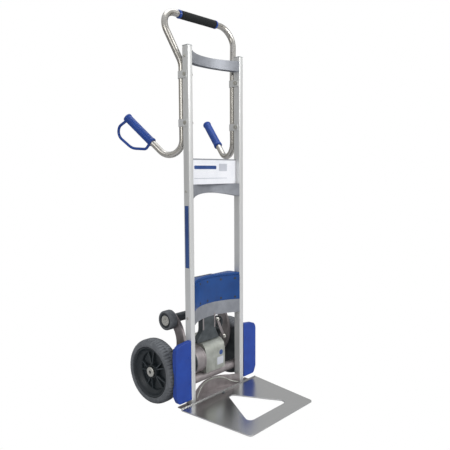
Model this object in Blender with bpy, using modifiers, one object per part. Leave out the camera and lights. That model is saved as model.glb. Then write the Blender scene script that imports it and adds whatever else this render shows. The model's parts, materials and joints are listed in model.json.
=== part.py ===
"""A powered stair climbing trolley: a hand truck whose motor swings two small support wheels.

The load side faces -Y, +X is the viewer's right when facing the load side, and +Z is up.
The origin lies on the floor, midway between the rails, under their front faces.
"""

import math

import bpy
import bmesh
from mathutils import Matrix, Vector

# ---- clearances ------------------------------------------------------------------------------
GAP = 0.0003            # left between pieces that touch
RUNNING = 0.0008        # around shafts, grips and anything that slides or turns
SIDES = (-1, 1)
SIDE_NAME = {-1: "left", 1: "right"}

# ---- rails and cross-members -----------------------------------------------------------------
RAIL_SPAN = 0.318       # over the outer faces
RAIL_OUT = RAIL_SPAN / 2
RAIL_WIDTH = 0.024
RAIL_DEPTH = 0.032
RAIL_WALL = 0.0025
RAIL_ROUND = 0.003
RAIL_TOP = 1.3993
CAP_THICK = 0.003
CAP_PLUG = 0.012
BOW_STEPS = 10
BOW_SAG = 0.047         # how far the cross-members bulge back from the rails' front plane
MEMBER_WALL = 0.003
MEMBERS = {             # low, high, depth front to back, rise of the arched lower edge
    "top_crossmember": (RAIL_TOP - 0.0590, RAIL_TOP - 0.0162, 0.025, 0.005),
    "middle_crossmember": (0.8257, 0.8784, 0.020, 0.017),
    "lower_crossmember": (0.3254, 0.3826, 0.012, 0.0),
}
NAME_PLATE_HEIGHT = 0.1
NAME_PLATE_THICK = 0.0025
NAME_PLATE_Y = 0.020
NAME_PLATE_RETURN = 0.010

# ---- toe plate and its bracket ---------------------------------------------------------------
FOOT_THICK = 0.004      # strip under the rails
FOOT_HALF = RAIL_OUT + 0.046
APRON_THICK = 0.004
APRON_LOW = 0.050       # top edge beside the rails
APRON_HIGH = 0.058      # top edge in the middle
TOE_THICK = 0.0045
TOE_BACK = -0.0115
TOE_FRONT = -0.336
TOE_BACK_HALF = RAIL_OUT + 0.072
TOE_FRONT_HALF = RAIL_OUT + 0.038
TOE_BACK_TOP = 0.0137
TOE_CORNER = 0.006
TOE_FRONT_CORNER = 0.016
TOE_FLANGE = 0.034      # how far the bracket reaches forward under the plate
WINDOW_APEX = -0.066
WINDOW_BASE = -0.264
WINDOW_APEX_HALF = 0.012
WINDOW_BASE_HALF = 0.124
WINDOW_ROUND = 0.016
TOE_SCREW_R = 0.003
TOE_SCREW_HEAD_R = 0.006
TOE_SCREW_Y = -0.026

# ---- main wheels and axle --------------------------------------------------------------------
WHEEL_STEPS = 36
WHEEL_R = 0.130
WHEEL_WIDTH = 0.068
WHEEL_OUT = RAIL_OUT + 0.098   # outer face of each wheel from the middle plane
RIM_R = WHEEL_R - 0.028
RIM_WIDTH = 0.060
RIM_LIP = 0.012
HUB_R = 0.026
HUB_CAP_R = 0.021
RIM_WEB = 0.006         # half the thickness of the spokes
RIM_SKIN = 0.003        # closed back wall behind the spokes
HUB_FRONT = 0.020
HUB_BACK = 0.026
SPOKE_PAIRS = 5
AXLE_R = 0.010
AXLE_Y = WHEEL_R + 0.015     # leaves room for the guard in front of the tyre
AXLE_Z = WHEEL_R
BRACKET_THICK = 0.005
BRACKET_BOSS = 0.026
BRACKET_FRONT = 0.003
BRACKET_LOW = 0.034
BRACKET_KNEE = 0.060      # where the lower edge turns up towards the axle
BRACKET_HIGH = 0.262

# ---- lift arms and support wheels ------------------------------------------------------------
SUPPORT_Y = AXLE_Y - 0.014
SUPPORT_Z = AXLE_Z + 0.198
SUPPORT_R = 0.040
SUPPORT_HUB_R = 0.029
SUPPORT_IN = RAIL_OUT - 0.016
SUPPORT_WIDTH = 0.037
SUPPORT_PIN_R = 0.0075
ARM_IN = RAIL_OUT - 0.031
ARM_THICK = 0.012
ARM_WIDTH = 0.046
ARM_BOW = 0.055         # forward bow of the arm from the line between its two axles
LIFT_SHAFT_R = 0.016
CROSS_TUBE_R = 0.018

# ---- drive unit ------------------------------------------------------------------------------
GEAR_TEETH = 40
PINION_TEETH = 10
GEAR_WIDTH = 0.020
MOTOR_Y = AXLE_Y - 0.073
MOTOR_Z = AXLE_Z + 0.026
MOTOR_R = 0.058
MOTOR_LENGTH = 0.058
MOTOR_WALL = 0.006
MOTOR_SHAFT_R = 0.006
HOUSING_WALL = 0.004
HOUSING_LEFT = -0.055
HOUSING_RIGHT = 0.060
HOUSING_FRONT = 0.020
HOUSING_LOW = AXLE_Z - 0.030
HOUSING_TOP = AXLE_Z + 0.095
HOUSING_ROUND = 0.040
GEAR_TO_WALL = 0.005
NECK_LEFT = -0.050
NECK_RIGHT = 0.030
NECK_FRONT = 0.045
NECK_BACK = MOTOR_Y - 0.002
NECK_FLARE_LEFT = 0.030   # how far the neck widens above the housing
NECK_FLARE_RIGHT = 0.022
NECK_FLARE_HIGH = 0.045
STRETCHER_R = 0.019
STRETCHER_Y = RAIL_DEPTH + STRETCHER_R
STRETCHER_Z = HOUSING_LOW - 0.0202

# ---- battery and controls --------------------------------------------------------------------
CASE_TOP = 0.500
CASE_BACK = RAIL_DEPTH + 0.030
CASE_WALL = 0.003
CASE_CHAMFER = 0.012      # across the rear corners, behind the rails
TRAY_DROP = 0.010         # how far the tray and the pack stay below the case's top
PACK_HALF = 0.070
PACK_DEPTH = 0.044
SHELF_THICK = 0.004
SWITCH_LEFT = 0.092
SWITCH_RIGHT = 0.116
SWITCH_LOW = 0.455
SWITCH_HIGH = 0.470

# ---- wheel guards ----------------------------------------------------------------------------
GUARD_OUT = RAIL_OUT + 0.083
GUARD_LOW = 0.028
GUARD_HIGH = 2 * WHEEL_R + 0.008
GUARD_FRONT = -0.002
GUARD_WALL = 0.003
GUARD_DEPTH = 0.020
GUARD_CLEAR = 0.004     # to the tyre

# ---- handle ----------------------------------------------------------------------------------
TUBE_R = 0.0125
LEG_Y = RAIL_DEPTH + TUBE_R + 0.0025
LEG_TOP = RAIL_TOP - 0.0593
LOOP_HALF = RAIL_OUT + 0.059
LOOP_Y = LEG_Y + 0.059
LOOP_Z = RAIL_TOP + 0.1417
LOOP_BEND = 0.065
LEG_BEND = 0.080
HOOK_TURN = math.radians(19.5)   # the side handles' turn outwards from straight back
HOOK_RISE = math.radians(42.4)
HOOK_CORNER_Z = RAIL_TOP - 0.4783
HOOK_BEND = 0.058
GRIP_FROM = 0.181       # along the rising tube, from the hook's corner
GRIP_LENGTH = 0.156
GRIP_R = TUBE_R + 0.004
GRIP_COLLAR_R = TUBE_R + 0.0065
GRIP_COLLAR = 0.010
BUTTON_R = TUBE_R - 0.0035
BUTTON_DEPTH = 0.009
BUTTON_OUT = 0.0035
BUTTON_TRAVEL = 0.003
HAND_GUARD_R = 0.006
HAND_GUARD_FOOT = GRIP_R - 0.002
HAND_GUARD = (            # ((along the grip, below its axis), corner radius)
    ((0.007, HAND_GUARD_FOOT), 0), ((0.006, 0.038), 0.016), ((0.056, 0.078), 0.060),
    ((0.140, 0.084), 0.038), ((0.160, 0.052), 0.024), ((0.149, HAND_GUARD_FOOT), 0))
FOAM_HALF = 0.098
FOAM_R = TUBE_R + 0.004
LOOP_COLLAR = 0.010
LOOP_COLLAR_R = TUBE_R + 0.0045
CLAMP_ZS = {"upper": RAIL_TOP - 0.1043, "lower": RAIL_TOP - 0.2853}
CLAMP_HEIGHT = 0.028
CLAMP_THICK = 0.0025
CLAMP_BOLT_R = 0.003
CLAMP_BOLT_Y = RAIL_DEPTH - 0.014
CLAMP_EAR_Y = 0.006       # how far forward the strap ears reach beside the rail
CLAMP_HEAD_R = 0.006
CLAMP_HEAD = 0.004
CLAMP_KNOB_R = 0.0075
CLAMP_KNOB = 0.008

# ---- worked out from the above ---------------------------------------------------------------
RAIL_IN = RAIL_OUT - RAIL_WIDTH
RAIL_X = (RAIL_OUT + RAIL_IN) / 2
RAIL_LOW = FOOT_THICK + GAP
MEMBER_HALF = RAIL_IN - GAP
BOW_R = (MEMBER_HALF ** 2 + BOW_SAG ** 2) / (2 * BOW_SAG)
WHEEL_X = WHEEL_OUT - WHEEL_WIDTH / 2
MOTOR_REACH = math.hypot(MOTOR_Y - AXLE_Y, MOTOR_Z - AXLE_Z)
GEAR_MODULE = 2 * MOTOR_REACH / (GEAR_TEETH + PINION_TEETH)
GEAR_TIP = GEAR_MODULE * (GEAR_TEETH / 2 + 0.8)
DRUM_R = GEAR_TIP + GEAR_TO_WALL + HOUSING_WALL
HOOK_WAY = Vector((math.sin(HOOK_TURN) * math.cos(HOOK_RISE),
                   math.cos(HOOK_TURN) * math.cos(HOOK_RISE),
                   math.sin(HOOK_RISE)))

# ---- materials: base colour (linear), roughness, metallic -------------------------------------
FINISHES = {
    "rail_aluminium": ((0.50, 0.51, 0.53), 0.35, 0.9),
    "grey_plastic": ((0.30, 0.31, 0.32), 0.5, 0.0),
    "cast_grey": ((0.30, 0.31, 0.33), 0.5, 0.6),
    "white_plate": ((0.80, 0.81, 0.83), 0.4, 0.0),
    "toe_steel": ((0.36, 0.36, 0.38), 0.3, 1.0),
    "blue_plastic": ((0.015, 0.045, 0.26), 0.45, 0.0),
    "tyre_grey": ((0.15, 0.16, 0.17), 0.8, 0.0),
    "rim_black": ((0.012, 0.016, 0.015), 0.45, 0.0),
    "bright_metal": ((0.62, 0.63, 0.65), 0.18, 1.0),
    "dark_casting": ((0.07, 0.075, 0.08), 0.55, 0.3),
    "foam_black": ((0.01, 0.01, 0.01), 0.9, 0.0),
    "board_green": ((0.02, 0.15, 0.05), 0.5, 0.0),
}

# ---- where local axes point when a shape is drawn out along X, Y or Z -------------------------
ALONG = {
    "X": Matrix(((0, 0, 1), (1, 0, 0), (0, 1, 0))),     # drawn in (Y, Z)
    "Y": Matrix(((1, 0, 0), (0, 0, -1), (0, 1, 0))),    # drawn in (X, Z)
    "Z": Matrix.Identity(3),                            # drawn in (X, Y)
}
UNIT = {"X": Vector((1, 0, 0)), "Y": Vector((0, 1, 0)), "Z": Vector((0, 0, 1))}


# ==== modelling helpers =======================================================================
def clear_scene():
    """Remove every object and make the two collections: the parts and their cutters."""
    for item in list(bpy.data.objects):
        bpy.data.objects.remove(item)
    found = []
    for name in ("stair_climbing_trolley", "cutters"):
        collection = bpy.data.collections.new(name)
        bpy.context.scene.collection.children.link(collection)
        found.append(collection)
    return found


def finish(name):
    """The material of that name, made on first use."""
    made = bpy.data.materials.get(name)
    if made is None:
        colour, roughness, metallic = FINISHES[name]
        made = bpy.data.materials.new(name)
        made.use_nodes = True
        surface = made.node_tree.nodes["Principled BSDF"]
        surface.inputs["Base Color"].default_value = (*colour, 1)
        surface.inputs["Roughness"].default_value = roughness
        surface.inputs["Metallic"].default_value = metallic
    return made


def add_mesh(name, mesh, place, look):
    """Link a mesh as a part, or as a cutter when it has no look."""
    made = bpy.data.objects.new(name, mesh)
    made.matrix_world = place
    mesh.shade_smooth()
    mesh.set_sharp_from_angle(angle=math.radians(35))
    if look is None:
        CUTTERS.objects.link(made)
        made.hide_render = True
        made.display_type = "WIRE"
    else:
        PARTS.objects.link(made)
        mesh.materials.clear()
        mesh.materials.append(finish(look))
    return made


def curve_to_mesh(curve, name, place, look):
    """Turn a curve into a welded mesh object of its own."""
    drawn = bpy.data.objects.new(name + "_curve", curve)
    bpy.context.scene.collection.objects.link(drawn)
    evaluated = drawn.evaluated_get(bpy.context.evaluated_depsgraph_get())
    mesh = bpy.data.meshes.new_from_object(evaluated)
    bpy.data.objects.remove(drawn)
    mesh.name = name
    shape = bmesh.new()
    shape.from_mesh(mesh)
    bmesh.ops.remove_doubles(shape, verts=shape.verts, dist=0.00001)
    bmesh.ops.recalc_face_normals(shape, faces=shape.faces)
    shape.to_mesh(mesh)
    shape.free()
    return add_mesh(name, mesh, place, look)


def rounded(corners, closed=True, steps=3):
    """Points of an outline or a path whose corners, given as (point, radius), are arcs."""
    points = []
    for i, (corner, radius) in enumerate(corners):
        corner = Vector(corner)
        if radius == 0 or (not closed and i in (0, len(corners) - 1)):
            points.append(corner)
            continue
        before = (Vector(corners[i - 1][0]) - corner).normalized()
        after = (Vector(corners[(i + 1) % len(corners)][0]) - corner).normalized()
        half = before.angle(after) / 2
        turn = math.pi - 2 * half
        centre = corner + (before + after).normalized() * radius / math.sin(half)
        start = corner + before * radius / math.tan(half) - centre
        stop = corner + after * radius / math.tan(half) - centre
        for step in range(steps + 1):
            share = step / steps
            swung = start * math.sin((1 - share) * turn) + stop * math.sin(share * turn)
            points.append(centre + swung / math.sin(turn))
    return points


def rectangle(left, right, low, high, radius=0.0):
    """A rectangle's outline with rounded corners."""
    corners = ((left, low), (right, low), (right, high), (left, high))
    return rounded([(corner, radius) for corner in corners])


def circle(u, v, radius, steps=24, start=0.0, sweep=2 * math.pi):
    """Points around a circle, or along an arc of it when the sweep is less than a turn."""
    count = steps if sweep >= 2 * math.pi else steps + 1
    angles = [start + sweep * i / steps for i in range(count)]
    return [Vector((u + radius * math.cos(a), v + radius * math.sin(a))) for a in angles]


def prism(name, loops, low, high, axis, look):
    """Flat outlines, the first one solid and the others holes in it, drawn out along an axis."""
    curve = bpy.data.curves.new(name, "CURVE")
    curve.dimensions = "2D"
    curve.fill_mode = "BOTH"
    curve.extrude = (high - low) / 2
    for loop in loops:
        spline = curve.splines.new("POLY")
        spline.points.add(len(loop) - 1)
        spline.use_cyclic_u = True
        for point, (u, v) in zip(spline.points, loop):
            point.co = (u, v, 0, 1)
    place = Matrix.Translation(UNIT[axis] * (low + high) / 2) @ ALONG[axis].to_4x4()
    return curve_to_mesh(curve, name, place, look)


def box(name, low, high, look):
    """A box between two corners."""
    made = bmesh.new()
    bmesh.ops.create_cube(made, size=1)
    size = Vector(high) - Vector(low)
    bmesh.ops.scale(made, vec=size, verts=made.verts)
    mesh = bpy.data.meshes.new(name)
    made.to_mesh(mesh)
    made.free()
    return add_mesh(name, mesh, Matrix.Translation((Vector(high) + Vector(low)) / 2), look)


def tube(name, path, radius, look, resolution=2):
    """A round bar along a path."""
    curve = bpy.data.curves.new(name, "CURVE")
    curve.dimensions = "3D"
    curve.bevel_depth = radius
    curve.bevel_resolution = resolution
    curve.render_resolution_u = 0
    curve.use_fill_caps = True
    spline = curve.splines.new("POLY")
    spline.points.add(len(path) - 1)
    for point, place in zip(spline.points, path):
        point.co = (*place, 1)
    return curve_to_mesh(curve, name, Matrix.Identity(4), look)


def turned(name, profile, origin, way, look, steps=24, closed=False):
    """A profile of (radius, height) turned about the line through origin along way.

    An open profile starts and ends on that line, and a closed one makes a ring. Both run
    down their outer side.
    """
    mesh = bpy.data.meshes.new(name)
    made = bmesh.new()
    corners = [made.verts.new((radius, 0, height)) for radius, height in profile]
    for first, second in zip(corners, corners[1:]):
        made.edges.new((first, second))
    if closed:
        made.edges.new((corners[-1], corners[0]))
    made.to_mesh(mesh)
    made.free()
    turn = Vector((0, 0, 1)).rotation_difference(Vector(way)).to_matrix().to_4x4()
    item = add_mesh(name, mesh, Matrix.Translation(Vector(origin)) @ turn, look)
    screw = item.modifiers.new("turn", "SCREW")
    screw.axis = "Z"
    screw.steps = steps
    screw.render_steps = steps
    screw.use_merge_vertices = True
    screw.merge_threshold = 0.00001
    screw.use_smooth_shade = True
    return item


def rod(name, radius, low, high, origin, way, look, steps=16):
    """A plain cylinder between two heights along a line."""
    profile = ((0, high), (radius, high), (radius, low), (0, low))
    return turned(name, profile, origin, way, look, steps)


def sleeve(name, radius, bore, low, high, origin, way, look, steps=24):
    """A plain ring between two heights along a line."""
    profile = ((bore, high), (radius, high), (radius, low), (bore, low))
    return turned(name, profile, origin, way, look, steps, closed=True)


def combine(item, other, operation):
    """Join another object to an item, cut it out of it, or keep what they share."""
    change = item.modifiers.new(other.name, "BOOLEAN")
    change.operation = operation
    change.solver = "EXACT"
    change.object = other


def drill(item, radius, low, high, origin, way, name, steps=16):
    """Cut a round hole."""
    combine(item, rod(item.name + "_" + name, radius, low, high, origin, way, None, steps),
            "DIFFERENCE")


def bow(x, offset=0.0):
    """The Y of the cross-members' concave front face at a given X, set back by an offset."""
    return math.sqrt((BOW_R + offset) ** 2 - x * x) - BOW_R + BOW_SAG


def bow_band(half, front, back, steps=BOW_STEPS):
    """The plan of a bowed band between two set-backs from the concave front face."""
    xs = [half * (2 * i / steps - 1) for i in range(steps + 1)]
    points = [Vector((x, bow(x, front))) for x in xs]
    points += [Vector((x, bow(x, back))) for x in reversed(xs)]
    return points


# ==== frame ===================================================================================
def rails():
    """Two hollow rails with end caps, drilled for the handle clamps' bolts."""
    for side in SIDES:
        label = SIDE_NAME[side]
        left = side * RAIL_X - RAIL_WIDTH / 2
        right = left + RAIL_WIDTH
        outer = rectangle(left, right, 0, RAIL_DEPTH, RAIL_ROUND)
        inner = rectangle(left + RAIL_WALL, right - RAIL_WALL, RAIL_WALL, RAIL_DEPTH - RAIL_WALL)
        rail = prism("rail_" + label, [outer, inner], RAIL_LOW, RAIL_TOP, "Z", "rail_aluminium")
        for place, height in CLAMP_ZS.items():
            drill(rail, CLAMP_BOLT_R + GAP, RAIL_IN - GAP, RAIL_OUT + GAP,
                  (0, CLAMP_BOLT_Y, height), (side, 0, 0), place + "_hole", 12)
        lid_low = RAIL_TOP + GAP
        cap = box("rail_cap_" + label, (left, 0, lid_low),
                  (right, RAIL_DEPTH, lid_low + CAP_THICK), "grey_plastic")
        edge = RAIL_WALL + GAP
        plug = box("rail_plug_" + label, (left + edge, edge, RAIL_TOP - CAP_PLUG),
                   (right - edge, RAIL_DEPTH - edge, lid_low + CAP_THICK / 2), None)
        combine(cap, plug, "UNION")


def crossmembers():
    """Three bowed box sections between the rails, open at the top and the bottom."""
    for name, (low, high, depth, rise) in MEMBERS.items():
        outer = bow_band(MEMBER_HALF, 0, depth)
        inner = bow_band(MEMBER_HALF - MEMBER_WALL, MEMBER_WALL, depth - MEMBER_WALL)
        member = prism(name, [outer, inner], low, high, "Z", "cast_grey")
        if rise:
            arch_r = (MEMBER_HALF ** 2 + rise ** 2) / (2 * rise)
            half_sweep = math.asin(MEMBER_HALF / arch_r)
            arch = circle(0, low + rise - arch_r, arch_r, 12, math.pi / 2 - half_sweep,
                          2 * half_sweep)
            reach = BOW_SAG + depth
            cutter = prism(name + "_arch", [arch], -reach, reach, "Y", None)
            combine(member, cutter, "DIFFERENCE")


def name_plate():
    """A blank plate above the middle cross-member with its ends turned back."""
    low = MEMBERS["middle_crossmember"][1] + GAP
    front = NAME_PLATE_Y
    back = front + NAME_PLATE_THICK
    half = MEMBER_HALF
    inside = half - NAME_PLATE_THICK
    end = back + NAME_PLATE_RETURN
    corners = ((-half, front), (half, front), (half, end), (inside, end),
               (inside, back), (-inside, back), (-inside, end), (-half, end))
    prism("name_plate", [[Vector(c) for c in corners]], low, low + NAME_PLATE_HEIGHT, "Z",
          "white_plate")


def toe_slope():
    """The toe plate's frame: at the middle of its back edge's top, tilted down forwards."""
    run = TOE_BACK - TOE_FRONT
    tilt = math.asin((TOE_BACK_TOP - TOE_THICK - GAP) / run)
    return Matrix.Translation((0, TOE_BACK, TOE_BACK_TOP)) @ Matrix.Rotation(tilt, 4, "X")


def toe_plate():
    """The tapered load plate with its triangular window, sloping down to the floor."""
    length = TOE_BACK - TOE_FRONT
    back = TOE_BACK_HALF
    front = TOE_FRONT_HALF
    outline = rounded([((-front, -length), TOE_FRONT_CORNER), ((front, -length), TOE_FRONT_CORNER),
                       ((back, 0), TOE_CORNER), ((-back, 0), TOE_CORNER)])
    apex = WINDOW_APEX - TOE_BACK
    base = WINDOW_BASE - TOE_BACK
    window = rounded([((-WINDOW_BASE_HALF, base), WINDOW_ROUND),
                      ((WINDOW_BASE_HALF, base), WINDOW_ROUND),
                      ((WINDOW_APEX_HALF, apex), WINDOW_ROUND / 2),
                      ((-WINDOW_APEX_HALF, apex), WINDOW_ROUND / 2)])
    plate = prism("toe_plate", [outline, window], -TOE_THICK, 0, "Z", "toe_steel")
    plate.matrix_world = toe_slope() @ plate.matrix_world
    way = toe_slope().to_3x3() @ Vector((0, 0, 1))
    seat = toe_slope() @ Vector((0, TOE_SCREW_Y - TOE_BACK, 0))
    drill(plate, TOE_SCREW_R + GAP, -2 * TOE_THICK, TOE_THICK, seat, way, "screw_hole", 12)
    head = 0.0012
    length = TOE_THICK + 0.005
    profile = ((0, head + GAP), (TOE_SCREW_HEAD_R * 0.7, head + GAP), (TOE_SCREW_HEAD_R, GAP),
               (TOE_SCREW_R, GAP), (TOE_SCREW_R, -length), (0, -length))
    turned("toe_screw", profile, seat, way, "dark_casting", 12)


def toe_bracket():
    """The foot strip under the rails, its flange under the toe plate and the bowed apron."""
    strip = box("toe_bracket", (-FOOT_HALF, TOE_BACK, 0), (FOOT_HALF, RAIL_DEPTH, FOOT_THICK),
                "cast_grey")
    band = prism("apron_band", [bow_band(MEMBER_HALF, 0, APRON_THICK)], FOOT_THICK / 2,
                 APRON_HIGH + FOOT_THICK, "Z", None)
    hump = rounded([((-MEMBER_HALF - GAP, 0), 0), ((MEMBER_HALF + GAP, 0), 0),
                    ((MEMBER_HALF + GAP, APRON_LOW), 0), ((0.10, APRON_LOW), 0.04),
                    ((0.035, APRON_HIGH), 0.05), ((-0.035, APRON_HIGH), 0.05),
                    ((-0.10, APRON_LOW), 0.04), ((-MEMBER_HALF - GAP, APRON_LOW), 0)])
    combine(band, prism("apron_outline", [hump], -BOW_SAG, 2 * BOW_SAG, "Y", None), "INTERSECT")
    combine(strip, band, "UNION")
    floor = box("apron_floor", (-MEMBER_HALF * 0.7, 0, 0),
                (MEMBER_HALF * 0.7, BOW_SAG + APRON_THICK, FOOT_THICK), None)
    combine(strip, floor, "UNION")
    flange = box("toe_flange", (-TOE_BACK_HALF * 0.8, -TOE_FLANGE, FOOT_THICK / 2 - TOE_BACK_TOP),
                 (TOE_BACK_HALF * 0.8, 0.006, -TOE_THICK - GAP), None)
    flange.matrix_world = toe_slope() @ flange.matrix_world
    combine(strip, flange, "UNION")
    seat = toe_slope() @ Vector((0, TOE_SCREW_Y - TOE_BACK, 0))
    way = toe_slope().to_3x3() @ Vector((0, 0, 1))
    drill(strip, TOE_SCREW_R + GAP, -0.05, 0.02, seat, way, "screw_hole", 12)


# ==== wheels ==================================================================================
def main_wheels():
    """Solid tyres on black rims with raised spokes and bright hub caps."""
    half = WHEEL_WIDTH / 2
    crown = WHEEL_R
    tread = [(RIM_R + GAP, half - 0.004), (RIM_R + 0.004, half), (crown - 0.014, half - 0.002),
             (crown - 0.004, half - 0.010), (crown, half - 0.022)]
    tyre = tread + [(r, -h) for r, h in reversed(tread)]
    barrel = RIM_WIDTH / 2
    lip = RIM_R - RIM_LIP
    web = RIM_WEB
    rim = [(HUB_R, HUB_FRONT), (HUB_R + 0.003, web), (lip - 0.012, web), (lip, barrel),
           (RIM_R, barrel), (RIM_R, -barrel), (lip, -barrel), (lip - 0.006, -web),
           (HUB_R, -web), (HUB_R, -HUB_BACK), (AXLE_R + GAP, -HUB_BACK),
           (AXLE_R + GAP, HUB_FRONT)]
    hub = HUB_FRONT + GAP
    face = half - 0.006
    cap = [(0, face), (HUB_CAP_R - 0.006, face), (HUB_CAP_R, face - 0.003), (HUB_CAP_R, hub),
           (AXLE_R + RUNNING, hub), (AXLE_R + RUNNING, face - 0.004), (0, face - 0.004)]
    for side in SIDES:
        label = SIDE_NAME[side]
        origin = (side * WHEEL_X, AXLE_Y, AXLE_Z)
        way = (side, 0, 0)
        turned("tyre_" + label, tyre, origin, way, "tyre_grey", WHEEL_STEPS, closed=True)
        wheel = turned("rim_" + label, rim, origin, way, "rim_black", WHEEL_STEPS, closed=True)
        for pair in range(SPOKE_PAIRS):
            for spread, name in ((0.36, "bay"), (0.07, "slot")):
                middle = 2 * math.pi * (pair + (0 if name == "bay" else 0.5)) / SPOKE_PAIRS
                near = HUB_R + (0.008 if name == "bay" else 0.022)
                far = lip - 0.016
                reach = spread * (0.5 if name == "bay" else 1)
                corners = [((near * math.cos(middle - reach), near * math.sin(middle - reach)), 0),
                           ((far * math.cos(middle - spread), far * math.sin(middle - spread)), 0),
                           ((far * math.cos(middle + spread), far * math.sin(middle + spread)), 0),
                           ((near * math.cos(middle + reach), near * math.sin(middle + reach)), 0)]
                deep = side * (RIM_SKIN - web)
                clear = side * 2 * web
                cut = prism(f"{name}_{label}_{pair}", [rounded(corners)], min(deep, clear),
                            max(deep, clear), "X", None)
                cut.matrix_world = Matrix.Translation(origin) @ cut.matrix_world
                combine(wheel, cut, "DIFFERENCE")
        turned("hub_cap_" + label, cap, origin, way, "bright_metal", 24)


def axle():
    """The fixed axle, and the plates that carry it outside the rails."""
    end = WHEEL_X + WHEEL_WIDTH / 2 - 0.012
    rod("main_axle", AXLE_R, -end, end, (0, AXLE_Y, AXLE_Z), (1, 0, 0), "bright_metal", 16)
    boss = BRACKET_BOSS
    outline = rounded([((BRACKET_FRONT, BRACKET_LOW), 0.004), ((BRACKET_KNEE, BRACKET_LOW), 0.02),
                       ((AXLE_Y + boss, AXLE_Z - 1.2 * boss), boss),
                       ((AXLE_Y + boss, AXLE_Z + 1.2 * boss), boss),
                       ((RAIL_DEPTH, BRACKET_HIGH), 0.01), ((BRACKET_FRONT, BRACKET_HIGH), 0.004)])
    for side in SIDES:
        near = side * (RAIL_OUT + GAP)
        far = side * (RAIL_OUT + GAP + BRACKET_THICK)
        hole = circle(AXLE_Y, AXLE_Z, AXLE_R + GAP, 16)
        prism("axle_bracket_" + SIDE_NAME[side], [outline, hole], min(near, far), max(near, far),
              "X", "dark_casting")
    sleeve("lower_cross_tube", STRETCHER_R, STRETCHER_R - 0.003, -RAIL_OUT, RAIL_OUT,
           (0, STRETCHER_Y, STRETCHER_Z), (1, 0, 0), "cast_grey")


# ==== lift arms and support wheels ============================================================
def arm_outline():
    """A bowed arm with round ends, between the main axle and the support wheels' axle."""
    low = Vector((AXLE_Y, AXLE_Z))
    high = Vector((SUPPORT_Y, SUPPORT_Z))
    chord = (high - low).length
    along = (high - low).normalized()
    back = Vector((along.y, -along.x))
    radius = (chord ** 2 / 4 + ARM_BOW ** 2) / (2 * ARM_BOW)
    centre = (low + high) / 2 + back * (radius - ARM_BOW)
    first = math.atan2(*(high - centre).yx)
    last = math.atan2(*(low - centre).yx) % (2 * math.pi)
    half = ARM_WIDTH / 2
    steps = 12
    points = circle(*centre, radius + half, steps, first, last - first)
    points += circle(*low, half, 6, last, math.pi)[1:-1]
    points += reversed(circle(*centre, radius - half, steps, first, last - first))
    points += circle(*high, half, 6, first + math.pi, math.pi)[1:-1]
    return points


def lift_arms():
    """The pair of arms, the shaft that turns them and the tube that joins their tips."""
    axis = (0, AXLE_Y, AXLE_Z)
    tip = (0, SUPPORT_Y, SUPPORT_Z)
    for side in SIDES:
        near = side * ARM_IN
        far = side * (ARM_IN + ARM_THICK)
        holes = [circle(AXLE_Y, AXLE_Z, LIFT_SHAFT_R + GAP, 24),
                 circle(SUPPORT_Y, SUPPORT_Z, SUPPORT_PIN_R + GAP, 16)]
        prism("lift_arm_" + SIDE_NAME[side], [arm_outline()] + holes, min(near, far),
              max(near, far), "X", "cast_grey")
    end = ARM_IN + ARM_THICK
    sleeve("lift_shaft", LIFT_SHAFT_R, AXLE_R + RUNNING, -end, end, axis, (1, 0, 0),
           "bright_metal")
    pin = SUPPORT_IN + SUPPORT_WIDTH - 0.002
    body = ARM_IN - GAP
    profile = ((0, pin), (SUPPORT_PIN_R, pin), (SUPPORT_PIN_R, body), (CROSS_TUBE_R, body),
               (CROSS_TUBE_R, -body), (SUPPORT_PIN_R, -body), (SUPPORT_PIN_R, -pin), (0, -pin))
    turned("lift_cross_tube", profile, tip, (1, 0, 0), "dark_casting", 24)


def support_wheels():
    """Small solid wheels on the pins outside the arms."""
    half = SUPPORT_WIDTH / 2
    low = SUPPORT_HUB_R + GAP
    tread = [(low, half - 0.002), (low + 0.003, half), (SUPPORT_R - 0.003, half - 0.002),
             (SUPPORT_R, half - 0.006)]
    tyre = tread + [(r, -h) for r, h in reversed(tread)]
    bore = SUPPORT_PIN_R + RUNNING
    hub = [(0, half), (SUPPORT_HUB_R - 0.004, half), (SUPPORT_HUB_R, half - 0.002),
           (SUPPORT_HUB_R, -half + 0.001), (bore, -half + 0.001),
           (bore, half - 0.0012), (0, half - 0.0012)]
    for side in SIDES:
        origin = (side * (SUPPORT_IN + half), SUPPORT_Y, SUPPORT_Z)
        way = (side, 0, 0)
        turned("support_tyre_" + SIDE_NAME[side], tyre, origin, way, "tyre_grey", 24, closed=True)
        turned("support_hub_" + SIDE_NAME[side], hub, origin, way, "bright_metal", 24)


# ==== drive unit ==============================================================================
def gear_outline(teeth, centre, phase):
    """A spur gear's outline; the phase is the direction of one tooth's middle."""
    pitch = GEAR_MODULE * teeth / 2
    root = pitch - 1.25 * GEAR_MODULE
    tip = pitch + 0.8 * GEAR_MODULE
    step = 2 * math.pi / teeth
    points = []
    for tooth in range(teeth):
        middle = phase + tooth * step
        for radius, share in ((root, -0.30), (tip, -0.11), (tip, 0.11), (root, 0.30)):
            angle = middle + share * step
            points.append(centre + radius * Vector((math.cos(angle), math.sin(angle))))
    return points


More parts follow.
